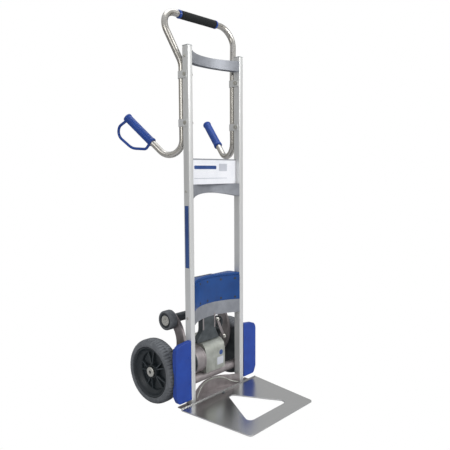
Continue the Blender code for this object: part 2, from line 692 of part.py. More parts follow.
def gears():
    """The wheel that turns the lift shaft, and the motor's rotor with its pinion."""
    wheel = Vector((AXLE_Y, AXLE_Z))
    motor = Vector((MOTOR_Y, MOTOR_Z))
    facing = math.atan2(*(motor - wheel).yx)
    half = GEAR_WIDTH / 2
    bore = circle(AXLE_Y, AXLE_Z, LIFT_SHAFT_R + GAP, 24)
    prism("drive_gear", [gear_outline(GEAR_TEETH, wheel, facing), bore], -half, half, "X",
          "bright_metal")
    gap_middle = facing + math.pi + math.pi / PINION_TEETH
    pinion = prism("motor_pinion", [gear_outline(PINION_TEETH, motor, gap_middle)],
                   -half - 0.001, half + 0.001, "X", "bright_metal")
    near = HOUSING_LEFT - GAP - MOTOR_WALL - 0.004
    far = HOUSING_LEFT - GAP - MOTOR_LENGTH + MOTOR_WALL + 0.004
    core = MOTOR_R - MOTOR_WALL - 0.008
    profile = ((0, half + 0.012), (MOTOR_SHAFT_R, half + 0.012), (MOTOR_SHAFT_R, near),
               (core, near), (core, far), (MOTOR_SHAFT_R, far), (MOTOR_SHAFT_R, far - 0.003),
               (0, far - 0.003))
    rotor = turned("rotor_shape", profile, (0, MOTOR_Y, MOTOR_Z), (1, 0, 0), None, 20)
    combine(pinion, rotor, "UNION")


def housing_outline(inset):
    """The gear housing seen from the side: a drum around the axle with a square front."""
    radius = DRUM_R - inset
    low = HOUSING_LOW + inset
    top = HOUSING_TOP - inset
    front = HOUSING_FRONT + inset
    last = math.pi + math.asin((AXLE_Z - low) / radius)
    shoulder = math.radians(35)
    corner = AXLE_Y + 0.022
    lead = rounded([((front, low), 0.004), ((front, top), HOUSING_ROUND - inset),
                    ((corner, top), 0.014),
                    ((AXLE_Y + radius * math.cos(shoulder),
                      AXLE_Z + radius * math.sin(shoulder)), 0)], closed=False)
    drum = circle(AXLE_Y, AXLE_Z, radius, 16, shoulder, last - 2 * math.pi - shoulder)
    return lead + drum[1:]


def drive_unit():
    """Gear housing in two halves, motor can and end cap, and the neck that hangs them."""
    shaft_hole = circle(AXLE_Y, AXLE_Z, LIFT_SHAFT_R + RUNNING, 24)
    middle = 0.0
    spans = {-1: (HOUSING_LEFT, middle - GAP / 2), 1: (middle + GAP / 2, HOUSING_RIGHT)}
    for side, (left, right) in spans.items():
        label = SIDE_NAME[side]
        half = prism("gear_housing_" + label, [housing_outline(0), shaft_hole], left, right, "X",
                     "cast_grey")
        inner = (left + HOUSING_WALL, right + GAP) if side < 0 else (left - GAP,
                                                                    right - HOUSING_WALL)
        combine(half, prism("housing_hollow_" + label, [housing_outline(HOUSING_WALL)], *inner,
                            "X", None), "DIFFERENCE")
        if side < 0:
            drill(half, MOTOR_SHAFT_R + RUNNING, left - GAP, left + 2 * HOUSING_WALL,
                  (0, MOTOR_Y, MOTOR_Z), (1, 0, 0), "motor_hole")
    near = HOUSING_LEFT - GAP
    far = near - MOTOR_LENGTH + MOTOR_WALL
    bore = MOTOR_R - MOTOR_WALL
    hole = MOTOR_SHAFT_R + RUNNING
    can = ((MOTOR_R, near), (MOTOR_R, far), (bore, far), (bore, near - MOTOR_WALL),
           (hole, near - MOTOR_WALL), (hole, near))
    motor = (0, MOTOR_Y, MOTOR_Z)
    turned("motor_can", can, motor, (1, 0, 0), "dark_casting", 28, closed=True)
    end = far - GAP
    cap = ((0, end), (MOTOR_R, end), (MOTOR_R - 0.004, end - MOTOR_WALL), (0, end - MOTOR_WALL))
    turned("motor_end_cap", cap, motor, (1, 0, 0), "dark_casting", 28)


def neck():
    """The flared casting between the gear housing and the battery case."""
    low = HOUSING_TOP + GAP
    high = MEMBERS["lower_crossmember"][1] - GAP
    flare = low + NECK_FLARE_HIGH
    left = NECK_LEFT - NECK_FLARE_LEFT
    right = NECK_RIGHT + NECK_FLARE_RIGHT
    outline = rounded([((left, low), 0.004), ((right, low), 0.004),
                       ((NECK_RIGHT, flare), 0.03), ((NECK_RIGHT, high), 0),
                       ((NECK_LEFT, high), 0), ((NECK_LEFT, flare), 0.03),
                       ((left, low + 0.012), 0.01)])
    piece = prism("gearbox_neck", [outline], NECK_FRONT, NECK_BACK, "Y", "dark_casting")
    drill(piece, MOTOR_R + GAP, -1, 1, (0, MOTOR_Y, MOTOR_Z), (1, 0, 0), "motor_seat", 28)
    member_low, _, depth, _ = MEMBERS["lower_crossmember"]
    room = prism("member_room", [bow_band(MEMBER_HALF, -0.02, depth + GAP)], member_low - GAP,
                 high + GAP, "Z", None)
    combine(piece, room, "DIFFERENCE")


# ==== battery and controls ====================================================================
def case_plan(inset, back, chamfer):
    """The battery case's plan: bowed front, straight sides and back, chamfered rear corners."""
    half = MEMBER_HALF - inset
    front = bow_band(half, inset, inset)[:BOW_STEPS + 1]
    return front + [Vector((half, back - chamfer)), Vector((half - chamfer, back)),
                    Vector((chamfer - half, back)), Vector((-half, back - chamfer))]


def battery_case():
    """Blue case over the control board, a rear tray with a shelf, and the sliding pack."""
    low = MEMBERS["lower_crossmember"][1] + GAP
    case = prism("battery_case", [case_plan(0, CASE_BACK, CASE_CHAMFER)], low, CASE_TOP, "Z",
                 "blue_plastic")
    inner_chamfer = CASE_CHAMFER + CASE_WALL * math.sqrt(2)
    combine(case, prism("case_hollow", [case_plan(CASE_WALL, CASE_BACK + CASE_WALL, inner_chamfer)],
                        low - CASE_WALL, CASE_TOP - CASE_WALL, "Z", None), "DIFFERENCE")
    tray_front = CASE_BACK + GAP
    tray_back = tray_front + CASE_WALL
    tray_half = MEMBER_HALF - CASE_CHAMFER
    tray_top = CASE_TOP - TRAY_DROP
    tray = box("battery_tray", (-tray_half, tray_front, low), (tray_half, tray_back, tray_top),
               "dark_casting")
    pack_front = tray_back + GAP
    shelf = box("pack_shelf", (-PACK_HALF, tray_back - CASE_WALL / 2, low),
                (PACK_HALF, pack_front + PACK_DEPTH, low + SHELF_THICK), None)
    combine(tray, shelf, "UNION")
    pack_low = low + SHELF_THICK + GAP
    outline = rectangle(-PACK_HALF, PACK_HALF, pack_front, pack_front + PACK_DEPTH, 0.008)
    prism("battery_pack", [outline], pack_low, tray_top, "Z", "grey_plastic")
    box("control_board", (-0.040, CASE_BACK - 0.005, low + 0.012),
        (0.040, CASE_BACK - 0.0015, CASE_TOP - 0.025), "board_green")
    box("power_switch", (SWITCH_LEFT, tray_back - 0.002, SWITCH_LOW),
        (SWITCH_RIGHT, tray_back + 0.004, SWITCH_HIGH), "blue_plastic")
    room = box("switch_room", (SWITCH_LEFT - RUNNING, tray_front - GAP, SWITCH_LOW - RUNNING),
               (SWITCH_RIGHT + RUNNING, tray_back + GAP, SWITCH_HIGH + RUNNING), None)
    combine(tray, room, "DIFFERENCE")


# ==== wheel guards ============================================================================
def wheel_guards():
    """Blue trays in front of the wheels, hollowed behind and cleared around the tyres."""
    inner = RAIL_OUT + 2 * GAP
    back = GUARD_FRONT + GUARD_DEPTH
    for side in SIDES:
        label = SIDE_NAME[side]
        outer = [((side * inner, GUARD_LOW), 0), ((side * (GUARD_OUT - 0.014), GUARD_LOW), 0.014),
                 ((side * GUARD_OUT, GUARD_LOW + 0.030), 0.020),
                 ((side * GUARD_OUT, GUARD_HIGH - 0.010), 0.028),
                 ((side * inner, GUARD_HIGH), 0)]
        guard = prism("wheel_guard_" + label, [rounded(outer)], GUARD_FRONT, back, "Y",
                      "blue_plastic")
        wall = GUARD_WALL
        room = [((side * (inner - 0.01), GUARD_LOW + wall), 0),
                ((side * (GUARD_OUT - 0.014 - wall / 2), GUARD_LOW + wall), 0.012),
                ((side * (GUARD_OUT - wall), GUARD_LOW + 0.030), 0.018),
                ((side * (GUARD_OUT - wall), GUARD_HIGH - 0.010 - wall), 0.025),
                ((side * (inner - 0.01), GUARD_HIGH - wall), 0)]
        combine(guard, prism("guard_room_" + label, [rounded(room)], GUARD_FRONT + wall,
                             back + wall, "Y", None), "DIFFERENCE")
        drill(guard, WHEEL_R + GUARD_CLEAR, RAIL_OUT - 0.02, GUARD_OUT + 0.02,
              (0, AXLE_Y, AXLE_Z), (side, 0, 0), "tyre_room", 40)


# ==== handle ==================================================================================
def sided(side, place):
    """Mirror a place on the right side to the given side."""
    return Vector((side * place[0], place[1], place[2]))


def hook_point(side, distance, drop=0.0):
    """A place on the rising grip tube, or below it at a right angle in the hook's plane."""
    corner = Vector((RAIL_X, LEG_Y, HOOK_CORNER_Z))
    flat = Vector((math.sin(HOOK_TURN), math.cos(HOOK_TURN), 0))
    down = flat * math.sin(HOOK_RISE) - Vector((0, 0, math.cos(HOOK_RISE)))
    return sided(side, corner + HOOK_WAY * distance + down * drop)


def handle_tubes():
    """Two bent tubes that meet in the middle of the top loop."""
    for side in SIDES:
        end = GRIP_FROM + GRIP_LENGTH - BUTTON_DEPTH - 0.006
        corners = [(hook_point(side, end), 0), (hook_point(side, 0), HOOK_BEND),
                   (sided(side, (RAIL_X, LEG_Y, LEG_TOP)), LEG_BEND),
                   (sided(side, (LOOP_HALF, LOOP_Y, LOOP_Z)), LOOP_BEND),
                   (Vector((side * GAP / 2, LOOP_Y, LOOP_Z)), 0)]
        tube("handle_tube_" + SIDE_NAME[side], rounded(corners, closed=False, steps=6), TUBE_R,
             "bright_metal")


def top_grip():
    """The foam grip on the top bar with a collar at each end."""
    middle = (0, LOOP_Y, LOOP_Z)
    bore = TUBE_R + GAP
    sleeve("top_grip", FOAM_R, bore, -FOAM_HALF, FOAM_HALF, middle, (1, 0, 0), "foam_black")
    for side in SIDES:
        low = FOAM_HALF + GAP
        sleeve("grip_collar_" + SIDE_NAME[side], LOOP_COLLAR_R, bore, low, low + LOOP_COLLAR,
               middle, (side, 0, 0), "blue_plastic")


def hand_grips():
    """Side grips; the left one carries the closed hand guard and the lift button."""
    bore = TUBE_R + GAP
    end = GRIP_LENGTH
    for side in SIDES:
        label = SIDE_NAME[side]
        way = sided(side, HOOK_WAY)
        seat = hook_point(side, GRIP_FROM)
        inside = end - BUTTON_DEPTH - 0.004
        ring = [(0, end), (GRIP_COLLAR_R - 0.002, end), (GRIP_COLLAR_R, end - 0.002),
                (GRIP_COLLAR_R, end - GRIP_COLLAR), (GRIP_R, end - GRIP_COLLAR - 0.003),
                (GRIP_R, GRIP_COLLAR + 0.003), (GRIP_COLLAR_R, GRIP_COLLAR), (GRIP_COLLAR_R, 0),
                (bore, 0), (bore, inside), (0, inside)]
        grip = turned("hand_grip_" + label, ring, seat, way, "blue_plastic", 24)
        if side < 0:
            drill(grip, BUTTON_R + RUNNING / 2, end - BUTTON_DEPTH, end + GAP, seat, way,
                  "button_pocket", 24)
            path = rounded([(hook_point(side, GRIP_FROM + along, drop), radius)
                            for (along, drop), radius in HAND_GUARD], closed=False, steps=4)
            combine(grip, tube("hand_guard_bar", path, HAND_GUARD_R, None), "UNION")
            rod("lift_button", BUTTON_R, end - BUTTON_DEPTH + BUTTON_TRAVEL + GAP,
                end + BUTTON_OUT, seat, way, "foam_black", 20)


def clamps():
    """Straps that hold the handle's legs to the rails, each with one cross bolt."""
    inner = TUBE_R + GAP
    outer = inner + CLAMP_THICK
    for side in SIDES:
        for place, height in CLAMP_ZS.items():
            middle = side * RAIL_X
            strap = [Vector((middle + outer, CLAMP_EAR_Y))]
            strap += circle(middle, LEG_Y, outer, 10, 0, math.pi)
            strap += [Vector((middle - outer, CLAMP_EAR_Y)),
                      Vector((middle - inner, CLAMP_EAR_Y))]
            strap += circle(middle, LEG_Y, inner, 10, math.pi, -math.pi)
            strap += [Vector((middle + inner, CLAMP_EAR_Y))]
            low = height - CLAMP_HEIGHT / 2
            label = f"{place}_{SIDE_NAME[side]}"
            clamp = prism("clamp_" + label, [strap], low, low + CLAMP_HEIGHT, "Z",
                          "rail_aluminium")
            origin = (side * RAIL_X, CLAMP_BOLT_Y, height)
            way = (side, 0, 0)
            drill(clamp, CLAMP_BOLT_R + GAP, -2 * outer, 2 * outer, origin, way, "hole", 12)
            face = outer + GAP
            top = face + CLAMP_HEAD
            end = -face - CLAMP_KNOB
            bolt = ((0, top), (CLAMP_HEAD_R - 0.001, top), (CLAMP_HEAD_R, top - 0.002),
                    (CLAMP_HEAD_R, face), (CLAMP_BOLT_R, face), (CLAMP_BOLT_R, -face),
                    (CLAMP_KNOB_R, -face), (CLAMP_KNOB_R, end), (0, end))
            turned("clamp_bolt_" + label, bolt, origin, way, "bright_metal", 12)


PARTS, CUTTERS = clear_scene()
rails()
crossmembers()
name_plate()
toe_plate()
toe_bracket()
main_wheels()
axle()
lift_arms()
support_wheels()
gears()
drive_unit()
neck()
battery_case()
wheel_guards()
handle_tubes()
top_grip()
hand_grips()
clamps()
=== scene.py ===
# %% [markdown]
# # A powered stair climbing trolley
# A hand truck with two tall rails, a toe plate, curved handles, and a motor that swings a pair
# of small support wheels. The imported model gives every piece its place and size. This lesson
# adds what the eye looks for: soft edges, tread, spokes, screws, and the finish of each material.

# %% Load the frame
import math
import json

import bpy
import bmesh
from mathutils import Matrix, Vector

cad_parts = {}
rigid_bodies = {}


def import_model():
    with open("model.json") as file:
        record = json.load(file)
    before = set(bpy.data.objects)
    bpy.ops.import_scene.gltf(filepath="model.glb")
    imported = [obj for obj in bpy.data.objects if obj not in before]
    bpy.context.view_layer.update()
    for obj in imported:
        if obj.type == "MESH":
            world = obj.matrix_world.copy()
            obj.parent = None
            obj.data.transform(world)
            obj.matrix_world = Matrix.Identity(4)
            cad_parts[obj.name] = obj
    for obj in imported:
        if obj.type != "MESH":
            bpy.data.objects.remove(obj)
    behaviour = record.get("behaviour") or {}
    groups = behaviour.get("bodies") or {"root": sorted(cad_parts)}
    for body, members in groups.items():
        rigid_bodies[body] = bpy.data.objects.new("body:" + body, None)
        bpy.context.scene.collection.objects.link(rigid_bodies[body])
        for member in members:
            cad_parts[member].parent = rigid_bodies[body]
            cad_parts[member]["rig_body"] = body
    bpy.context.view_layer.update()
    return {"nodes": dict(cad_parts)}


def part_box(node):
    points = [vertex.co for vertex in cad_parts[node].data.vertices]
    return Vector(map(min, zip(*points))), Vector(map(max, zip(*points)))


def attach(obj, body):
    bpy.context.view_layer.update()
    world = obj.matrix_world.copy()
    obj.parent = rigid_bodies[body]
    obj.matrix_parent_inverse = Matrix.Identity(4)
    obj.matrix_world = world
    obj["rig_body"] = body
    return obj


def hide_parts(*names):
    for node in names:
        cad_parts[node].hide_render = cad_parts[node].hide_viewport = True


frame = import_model()
nodes = frame["nodes"]

# %% [markdown]
# ## Camera
# The camera stands in front and to the left at chest height. Its place is worked out from a
# target point, a distance and two angles, so that each number can be read and changed alone.

# %% Camera
CAMERA_TARGET = Vector((0.0427, 0.0, 0.7094))
CAMERA_DISTANCE = 2.1956
CAMERA_AZIMUTH = -0.8348    # radians, from straight in front towards -X
CAMERA_HEIGHT_ANGLE = 0.0986
CAMERA_ROLL = -0.0048
LENS = 42.58

back = Vector((math.sin(CAMERA_AZIMUTH) * math.cos(CAMERA_HEIGHT_ANGLE),
               -math.cos(CAMERA_AZIMUTH) * math.cos(CAMERA_HEIGHT_ANGLE),
               math.sin(CAMERA_HEIGHT_ANGLE)))
camera_data = bpy.data.cameras.new("camera")
camera_data.lens = LENS
camera_data.sensor_width = 36
camera = bpy.data.objects.new("camera", camera_data)
turn = back.to_track_quat("Z", "Y").to_matrix().to_4x4()
camera.matrix_world = (Matrix.Translation(CAMERA_TARGET + back * CAMERA_DISTANCE) @ turn
                       @ Matrix.Rotation(CAMERA_ROLL, 4, "Z"))
bpy.context.scene.collection.objects.link(camera)
bpy.context.scene.camera = camera
print("camera at", [round(value, 3) for value in camera.location])

# %% [markdown]
# ## Floor and light
# Metal shows what is around it, so the studio matters as much as the surface. The camera sees
# plain white paper, but the metal sees a room: darker near the floor, bright overhead, with
# three large soft lamps. That keeps the edges of the tubes dark against the white.

# %% Floor, world and lamps
def linear(hex_colour):
    """An sRGB hex colour as a linear colour with alpha."""
    parts = [int(hex_colour[i:i + 2], 16) / 255 for i in (1, 3, 5)]
    return [c / 12.92 if c <= 0.04045 else ((c + 0.055) / 1.055) ** 2.4 for c in parts] + [1.0]


def add_node(tree, kind, settings=None, **inputs):
    """Add a shader node with its settings. An input is a value or another node's output."""
    node = tree.nodes.new(kind)
    for name, value in (settings or {}).items():
        setattr(node, name, value)
    for name, value in inputs.items():
        socket = node.inputs[int(name[1:])] if name[1:].isdigit() else node.inputs[
            name.replace("_", " ")]
        if isinstance(value, bpy.types.NodeSocket):
            tree.links.new(value, socket)
        else:
            socket.default_value = value
    return node


FLOOR_SIZE = 14
bpy.ops.mesh.primitive_plane_add(size=FLOOR_SIZE, location=(0, 0, 0))
floor = bpy.context.object
floor.name = "studio_floor"
floor_look = bpy.data.materials.new("studio_floor")
floor_look.use_nodes = True
floor_tree = floor_look.node_tree
floor_surface = floor_tree.nodes["Principled BSDF"]
floor_surface.inputs["Base Color"].default_value = linear("#c4c4c6")
floor_surface.inputs["Roughness"].default_value = 0.9
paper = add_node(floor_tree, "ShaderNodeEmission", Color=linear("#ffffff"), Strength=1.0)
seen = add_node(floor_tree, "ShaderNodeLightPath")
floor_mix = add_node(floor_tree, "ShaderNodeMixShader", _0=seen.outputs["Is Camera Ray"],
                     _1=floor_surface.outputs["BSDF"], _2=paper.outputs["Emission"])
floor_tree.links.new(floor_mix.outputs["Shader"],
                     floor_tree.nodes["Material Output"].inputs["Surface"])
floor.data.materials.append(floor_look)

world = bpy.data.worlds.new("studio")
bpy.context.scene.world = world
world.use_nodes = True
sky = world.node_tree
paper_white = sky.nodes["Background"]
paper_white.inputs["Color"].default_value = linear("#ffffff")
where = add_node(sky, "ShaderNodeTexCoord")
parts = add_node(sky, "ShaderNodeSeparateXYZ", Vector=where.outputs["Generated"])
height = add_node(sky, "ShaderNodeMapRange", Value=parts.outputs["Z"])
height.inputs["From Min"].default_value = -1.0
room_shades = add_node(sky, "ShaderNodeValToRGB", Fac=height.outputs["Result"])
ROOM_SHADES = ((0.0, "#6b6a67"), (0.46, "#85837e"), (0.55, "#c9c7c2"), (0.72, "#e4e5e6"),
               (1.0, "#f3f5fa"))
room_shades.color_ramp.elements.new(0.5)
room_shades.color_ramp.elements.new(0.5)
room_shades.color_ramp.elements.new(0.5)
for stop, (place, shade) in zip(room_shades.color_ramp.elements, ROOM_SHADES):
    stop.position = place
    stop.color = linear(shade)
ROOM_STRENGTH = 0.74
room = add_node(sky, "ShaderNodeBackground", Color=room_shades.outputs["Color"],
                Strength=ROOM_STRENGTH)
seen = add_node(sky, "ShaderNodeLightPath")
sky_mix = add_node(sky, "ShaderNodeMixShader", _0=seen.outputs["Is Camera Ray"],
                   _1=room.outputs["Background"], _2=paper_white.outputs["Background"])
sky.links.new(sky_mix.outputs["Shader"], sky.nodes["World Output"].inputs["Surface"])
bpy.context.scene.view_settings.view_transform = "Standard"


def lamp(name, place, aim, size, watts, tint="#ffffff"):
    """A large square lamp aimed at a point."""
    data = bpy.data.lights.new(name, "AREA")
    data.size = size
    data.energy = watts
    data.color = linear(tint)[:3]
    item = bpy.data.objects.new(name, data)
    way = Vector(place) - Vector(aim)
    item.matrix_world = (Matrix.Translation(place)
                         @ way.to_track_quat("Z", "Y").to_matrix().to_4x4())
    bpy.context.scene.collection.objects.link(item)
    return item


lamp("front_lamp", (0.9, -3.2, 2.4), (0, 0, 0.8), 1.6, 74)
lamp("left_lamp", (-3.2, -0.6, 1.8), (0, 0, 0.6), 1.4, 17)
lamp("top_lamp", (0.5, 0.4, 3.6), (0, 0, 0.5), 2.0, 24)
print("studio ready")

# %% [markdown]
# ## Shape helpers
# Four ways of making a shape cover nearly the whole trolley: turning a profile, drawing out a
# flat outline, sweeping a round bar along a path, and softening the edges of a plain solid.
# Real edges are never sharp: a radius of half a millimetre already catches a line of light.

# %% Shape helpers
SIDES = (-1, 1)
SIDE_NAME = {-1: "left", 1: "right"}
ALONG = {
    "X": Matrix(((0, 0, 1), (1, 0, 0), (0, 1, 0))),     # outline in (Y, Z)
    "Y": Matrix(((1, 0, 0), (0, 0, -1), (0, 1, 0))),    # outline in (X, Z)
    "Z": Matrix.Identity(3),                            # outline in (X, Y)
}
UNIT = {"X": Vector((1, 0, 0)), "Y": Vector((0, 1, 0)), "Z": Vector((0, 0, 1))}
made_pieces = []


def add_piece(name, mesh, look, body, stands_for=(), smooth=40):
    """Put a mesh in the scene as a piece with a material, riding on a body."""
    piece = bpy.data.objects.new(name, mesh)
    bpy.context.scene.collection.objects.link(piece)
    mesh.materials.clear()
    mesh.materials.append(look)
    mesh.shade_smooth()
    mesh.set_sharp_from_angle(angle=math.radians(smooth))
    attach(piece, body)
    if stands_for:
        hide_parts(*stands_for)
    made_pieces.append(name)
    return piece


def mesh_of(name, shape, weld=1e-6):
    """Turn a bmesh into a mesh, with doubles merged and faces pointing out."""
    bmesh.ops.remove_doubles(shape, verts=shape.verts, dist=weld)
    bmesh.ops.recalc_face_normals(shape, faces=shape.faces)
    mesh = bpy.data.meshes.new(name)
    shape.to_mesh(mesh)
    shape.free()
    return mesh


def turned_mesh(name, profile, origin, way, steps=64, closed=True):
    """A profile of (radius, height) turned about the line through origin along way."""
    shape = bmesh.new()
    corners = [shape.verts.new((max(radius, 0), 0, height)) for radius, height in profile]
    pairs = list(zip(corners, corners[1:])) + ([(corners[-1], corners[0])] if closed else [])
    edges = [shape.edges.new(pair) for pair in pairs]
    bmesh.ops.spin(shape, geom=corners + edges, cent=(0, 0, 0), axis=(0, 0, 1),
                   angle=2 * math.pi, steps=steps, use_merge=True, use_duplicate=False)
    facing = Vector((0, 0, 1)).rotation_difference(Vector(way)).to_matrix().to_4x4()
    shape.transform(Matrix.Translation(Vector(origin)) @ facing)
    return mesh_of(name, shape)


def rounded(corners, closed=True, steps=6):
    """Points of an outline or a path whose corners, given as (point, radius), are arcs."""
    points = []
    for i, (corner, radius) in enumerate(corners):
        corner = Vector(corner)
        if radius == 0 or (not closed and i in (0, len(corners) - 1)):
            points.append(corner)
            continue
        before = (Vector(corners[i - 1][0]) - corner).normalized()
        after = (Vector(corners[(i + 1) % len(corners)][0]) - corner).normalized()
        half = before.angle(after) / 2
        sweep = math.pi - 2 * half
        centre = corner + (before + after).normalized() * radius / math.sin(half)
        start = corner + before * radius / math.tan(half) - centre
        stop = corner + after * radius / math.tan(half) - centre
        for step in range(steps + 1):
            share = step / steps
            swung = start * math.sin((1 - share) * sweep) + stop * math.sin(share * sweep)
            points.append(centre + swung / math.sin(sweep))
    return points


def drawn_mesh(name, loops, low, high, axis, place=None):
    """Flat outlines, the first solid and the others holes in it, drawn out along an axis."""
    curve = bpy.data.curves.new(name, "CURVE")
    curve.dimensions = "2D"
    curve.fill_mode = "BOTH"
    curve.extrude = (high - low) / 2
    for loop in loops:
        spline = curve.splines.new("POLY")
        spline.points.add(len(loop) - 1)
        spline.use_cyclic_u = True
        for point, (u, v) in zip(spline.points, loop):
            point.co = (u, v, 0, 1)
    drawn = bpy.data.objects.new(name, curve)
    bpy.context.scene.collection.objects.link(drawn)
    mesh = bpy.data.meshes.new_from_object(
        drawn.evaluated_get(bpy.context.evaluated_depsgraph_get()))
    bpy.data.objects.remove(drawn)
    shape = bmesh.new()
    shape.from_mesh(mesh)
    bmesh.ops.remove_doubles(shape, verts=shape.verts, dist=1e-5)
    bmesh.ops.dissolve_limit(shape, angle_limit=0.01, verts=shape.verts, edges=shape.edges)
    frame_place = Matrix.Translation(UNIT[axis] * (low + high) / 2) @ ALONG[axis].to_4x4()
    shape.transform((place or Matrix.Identity(4)) @ frame_place)
    return mesh_of(name, shape)


def bar_mesh(name, path, radius, sides=20):
    """A round bar along a path, closed at its ends."""
    shape = bmesh.new()
    rings = []
    ahead = (path[1] - path[0]).normalized()
    across = ahead.orthogonal().normalized()
    for i, place in enumerate(path):
        near, far = path[max(i - 1, 0)], path[min(i + 1, len(path) - 1)]
        way = (far - near).normalized()
        across = (across - way * across.dot(way)).normalized()
        up = way.cross(across)
        angles = [2 * math.pi * k / sides for k in range(sides)]
        rings.append([shape.verts.new(place + (across * math.cos(a) + up * math.sin(a)) * radius)
                      for a in angles])
    for ring, following in zip(rings, rings[1:]):
        for k in range(sides):
            shape.faces.new((ring[k], ring[(k + 1) % sides], following[(k + 1) % sides],
                             following[k]))
    shape.faces.new(rings[0])
    shape.faces.new(list(reversed(rings[-1])))
    return mesh_of(name, shape)


def soften(piece, width=0.001, segments=2, angle=30):
    """Round a piece's edges with a Bevel."""
    bevel = piece.modifiers.new("soft_edges", "BEVEL")
    bevel.width = width
    bevel.segments = segments
    bevel.limit_method = "ANGLE"
    bevel.angle_limit = math.radians(angle)
    bevel.harden_normals = True
    return piece


def refined(node, look, width=0.0008, segments=2, angle=30, smooth=40):
    """The same solid as a frame node, with its facets merged and its edges rounded."""
    shape = bmesh.new()
    shape.from_mesh(nodes[node].data)
    bmesh.ops.remove_doubles(shape, verts=shape.verts, dist=1e-5)
    bmesh.ops.dissolve_limit(shape, angle_limit=0.01, verts=shape.verts, edges=shape.edges)
    mesh = mesh_of(node + "_shape", shape, 1e-5)
    body = nodes[node]["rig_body"]
    piece = add_piece(node + "_piece", mesh, look, body, (node,), smooth)
    return soften(piece, width, segments, angle)


print("helpers ready")

# %% [markdown]
# ## Metals
# Bare metal has almost no colour of its own: its look is the roughness left by the tool that
# made it. Extrusion leaves lines along the rail, brushing leaves lines across the sheet, and
# casting leaves a fine grain under the paint. Each pattern is scaled from a size in millimetres.

# %% Metal finishes
MILLIMETRE = 0.001


def finish(name, colour, roughness, metallic=0.0):
    """A material with its Principled surface set, ready for a pattern."""
    look = bpy.data.materials.new(name)
    look.use_nodes = True
    surface = look.node_tree.nodes["Principled BSDF"]
    surface.inputs["Base Color"].default_value = linear(colour)
    surface.inputs["Roughness"].default_value = roughness
    surface.inputs["Metallic"].default_value = metallic
    return look, look.node_tree, surface


def pattern(tree, size_mm, stretch=(1, 1, 1), detail=3.0):
    """Noise whose grains are size_mm across, made longer along an axis by its stretch."""
    where = add_node(tree, "ShaderNodeTexCoord")
    scaled = add_node(tree, "ShaderNodeMapping", Vector=where.outputs["Object"],
                      Scale=tuple(1 / s for s in stretch))
    return add_node(tree, "ShaderNodeTexNoise", Vector=scaled.outputs["Vector"],
                    Scale=1 / (size_mm * MILLIMETRE), Detail=detail)


def tint(tree, surface, noise, dark, light, low=0.3, high=0.7):
    """Colour a surface between two shades by a noise."""
    shades = add_node(tree, "ShaderNodeValToRGB", Fac=noise.outputs["Fac"])
    shades.color_ramp.elements[0].position = low
    shades.color_ramp.elements[0].color = linear(dark)
    shades.color_ramp.elements[1].position = high
    shades.color_ramp.elements[1].color = linear(light)
    tree.links.new(shades.outputs["Color"], surface.inputs["Base Color"])


def relief(tree, surface, noise, depth_mm, strength=0.5):
    """Bump a surface by a noise."""
    bump = add_node(tree, "ShaderNodeBump", Height=noise.outputs["Fac"], Strength=strength,
                    Distance=depth_mm * MILLIMETRE)
    tree.links.new(bump.outputs["Normal"], surface.inputs["Normal"])


def worn(tree, surface, noise, low, high):
    """Let the roughness wander between two values with a noise."""
    spread = add_node(tree, "ShaderNodeMapRange", Value=noise.outputs["Fac"])
    spread.inputs["To Min"].default_value = low
    spread.inputs["To Max"].default_value = high
    tree.links.new(spread.outputs["Result"], surface.inputs["Roughness"])


def extruded_aluminium():
    """Anodised extrusion: satin, with faint die lines that run the length of the rail."""
    look, tree, surface = finish("anodised_aluminium", "#d9dad9", 0.38, 0.45)
    lines = pattern(tree, 1.2, (1, 1, 400), 2.0)
    tint(tree, surface, lines, "#d3d4d3", "#dedfde")
    worn(tree, surface, lines, 0.32, 0.46)
    relief(tree, surface, lines, 0.05, 0.25)
    return look


def painted_casting(name, dark, light, roughness=0.5, metallic=0.4, grain_mm=0.9):
    """Cast aluminium under thin grey paint: a fine grain and slightly uneven shine."""
    look, tree, surface = finish(name, light, roughness, metallic)
    blotches = pattern(tree, 28, detail=4.0)
    tint(tree, surface, blotches, dark, light)
    worn(tree, surface, blotches, roughness - 0.06, roughness + 0.1)
    relief(tree, surface, pattern(tree, grain_mm), 0.12, 0.35)
    return look


def brushed_sheet():
    """Brushed steel sheet: fine lines from side to side smear the reflections forwards."""
    look, tree, surface = finish("brushed_steel", "#c4c4c4", 0.26, 1.0)
    lines = pattern(tree, 0.5, (300, 1, 1), 2.0)
    tint(tree, surface, lines, "#bfbfbe", "#cbcbca")
    worn(tree, surface, lines, 0.2, 0.28)
    relief(tree, surface, lines, 0.006, 0.15)
    return look


def polished_tube():
    """Satin chromed steel tube: bright, a little warm, with the softest drawing marks."""
    look, tree, surface = finish("chromed_tube", "#c2bfb8", 0.26, 1.0)
    haze = pattern(tree, 22, detail=4.0)
    tint(tree, surface, haze, "#bbb8b1", "#c9c6c0")
    worn(tree, surface, haze, 0.22, 0.32)
    return look


def zinc_plate(name="zinc_plated_steel", dark="#b9b8b0", light="#d4d3cd"):
    """Zinc-plated fasteners: bright, slightly warm and a little cloudy."""
    look, tree, surface = finish(name, light, 0.28, 1.0)
    haze = pattern(tree, 3)
    tint(tree, surface, haze, dark, light)
    worn(tree, surface, haze, 0.2, 0.38)
    return look


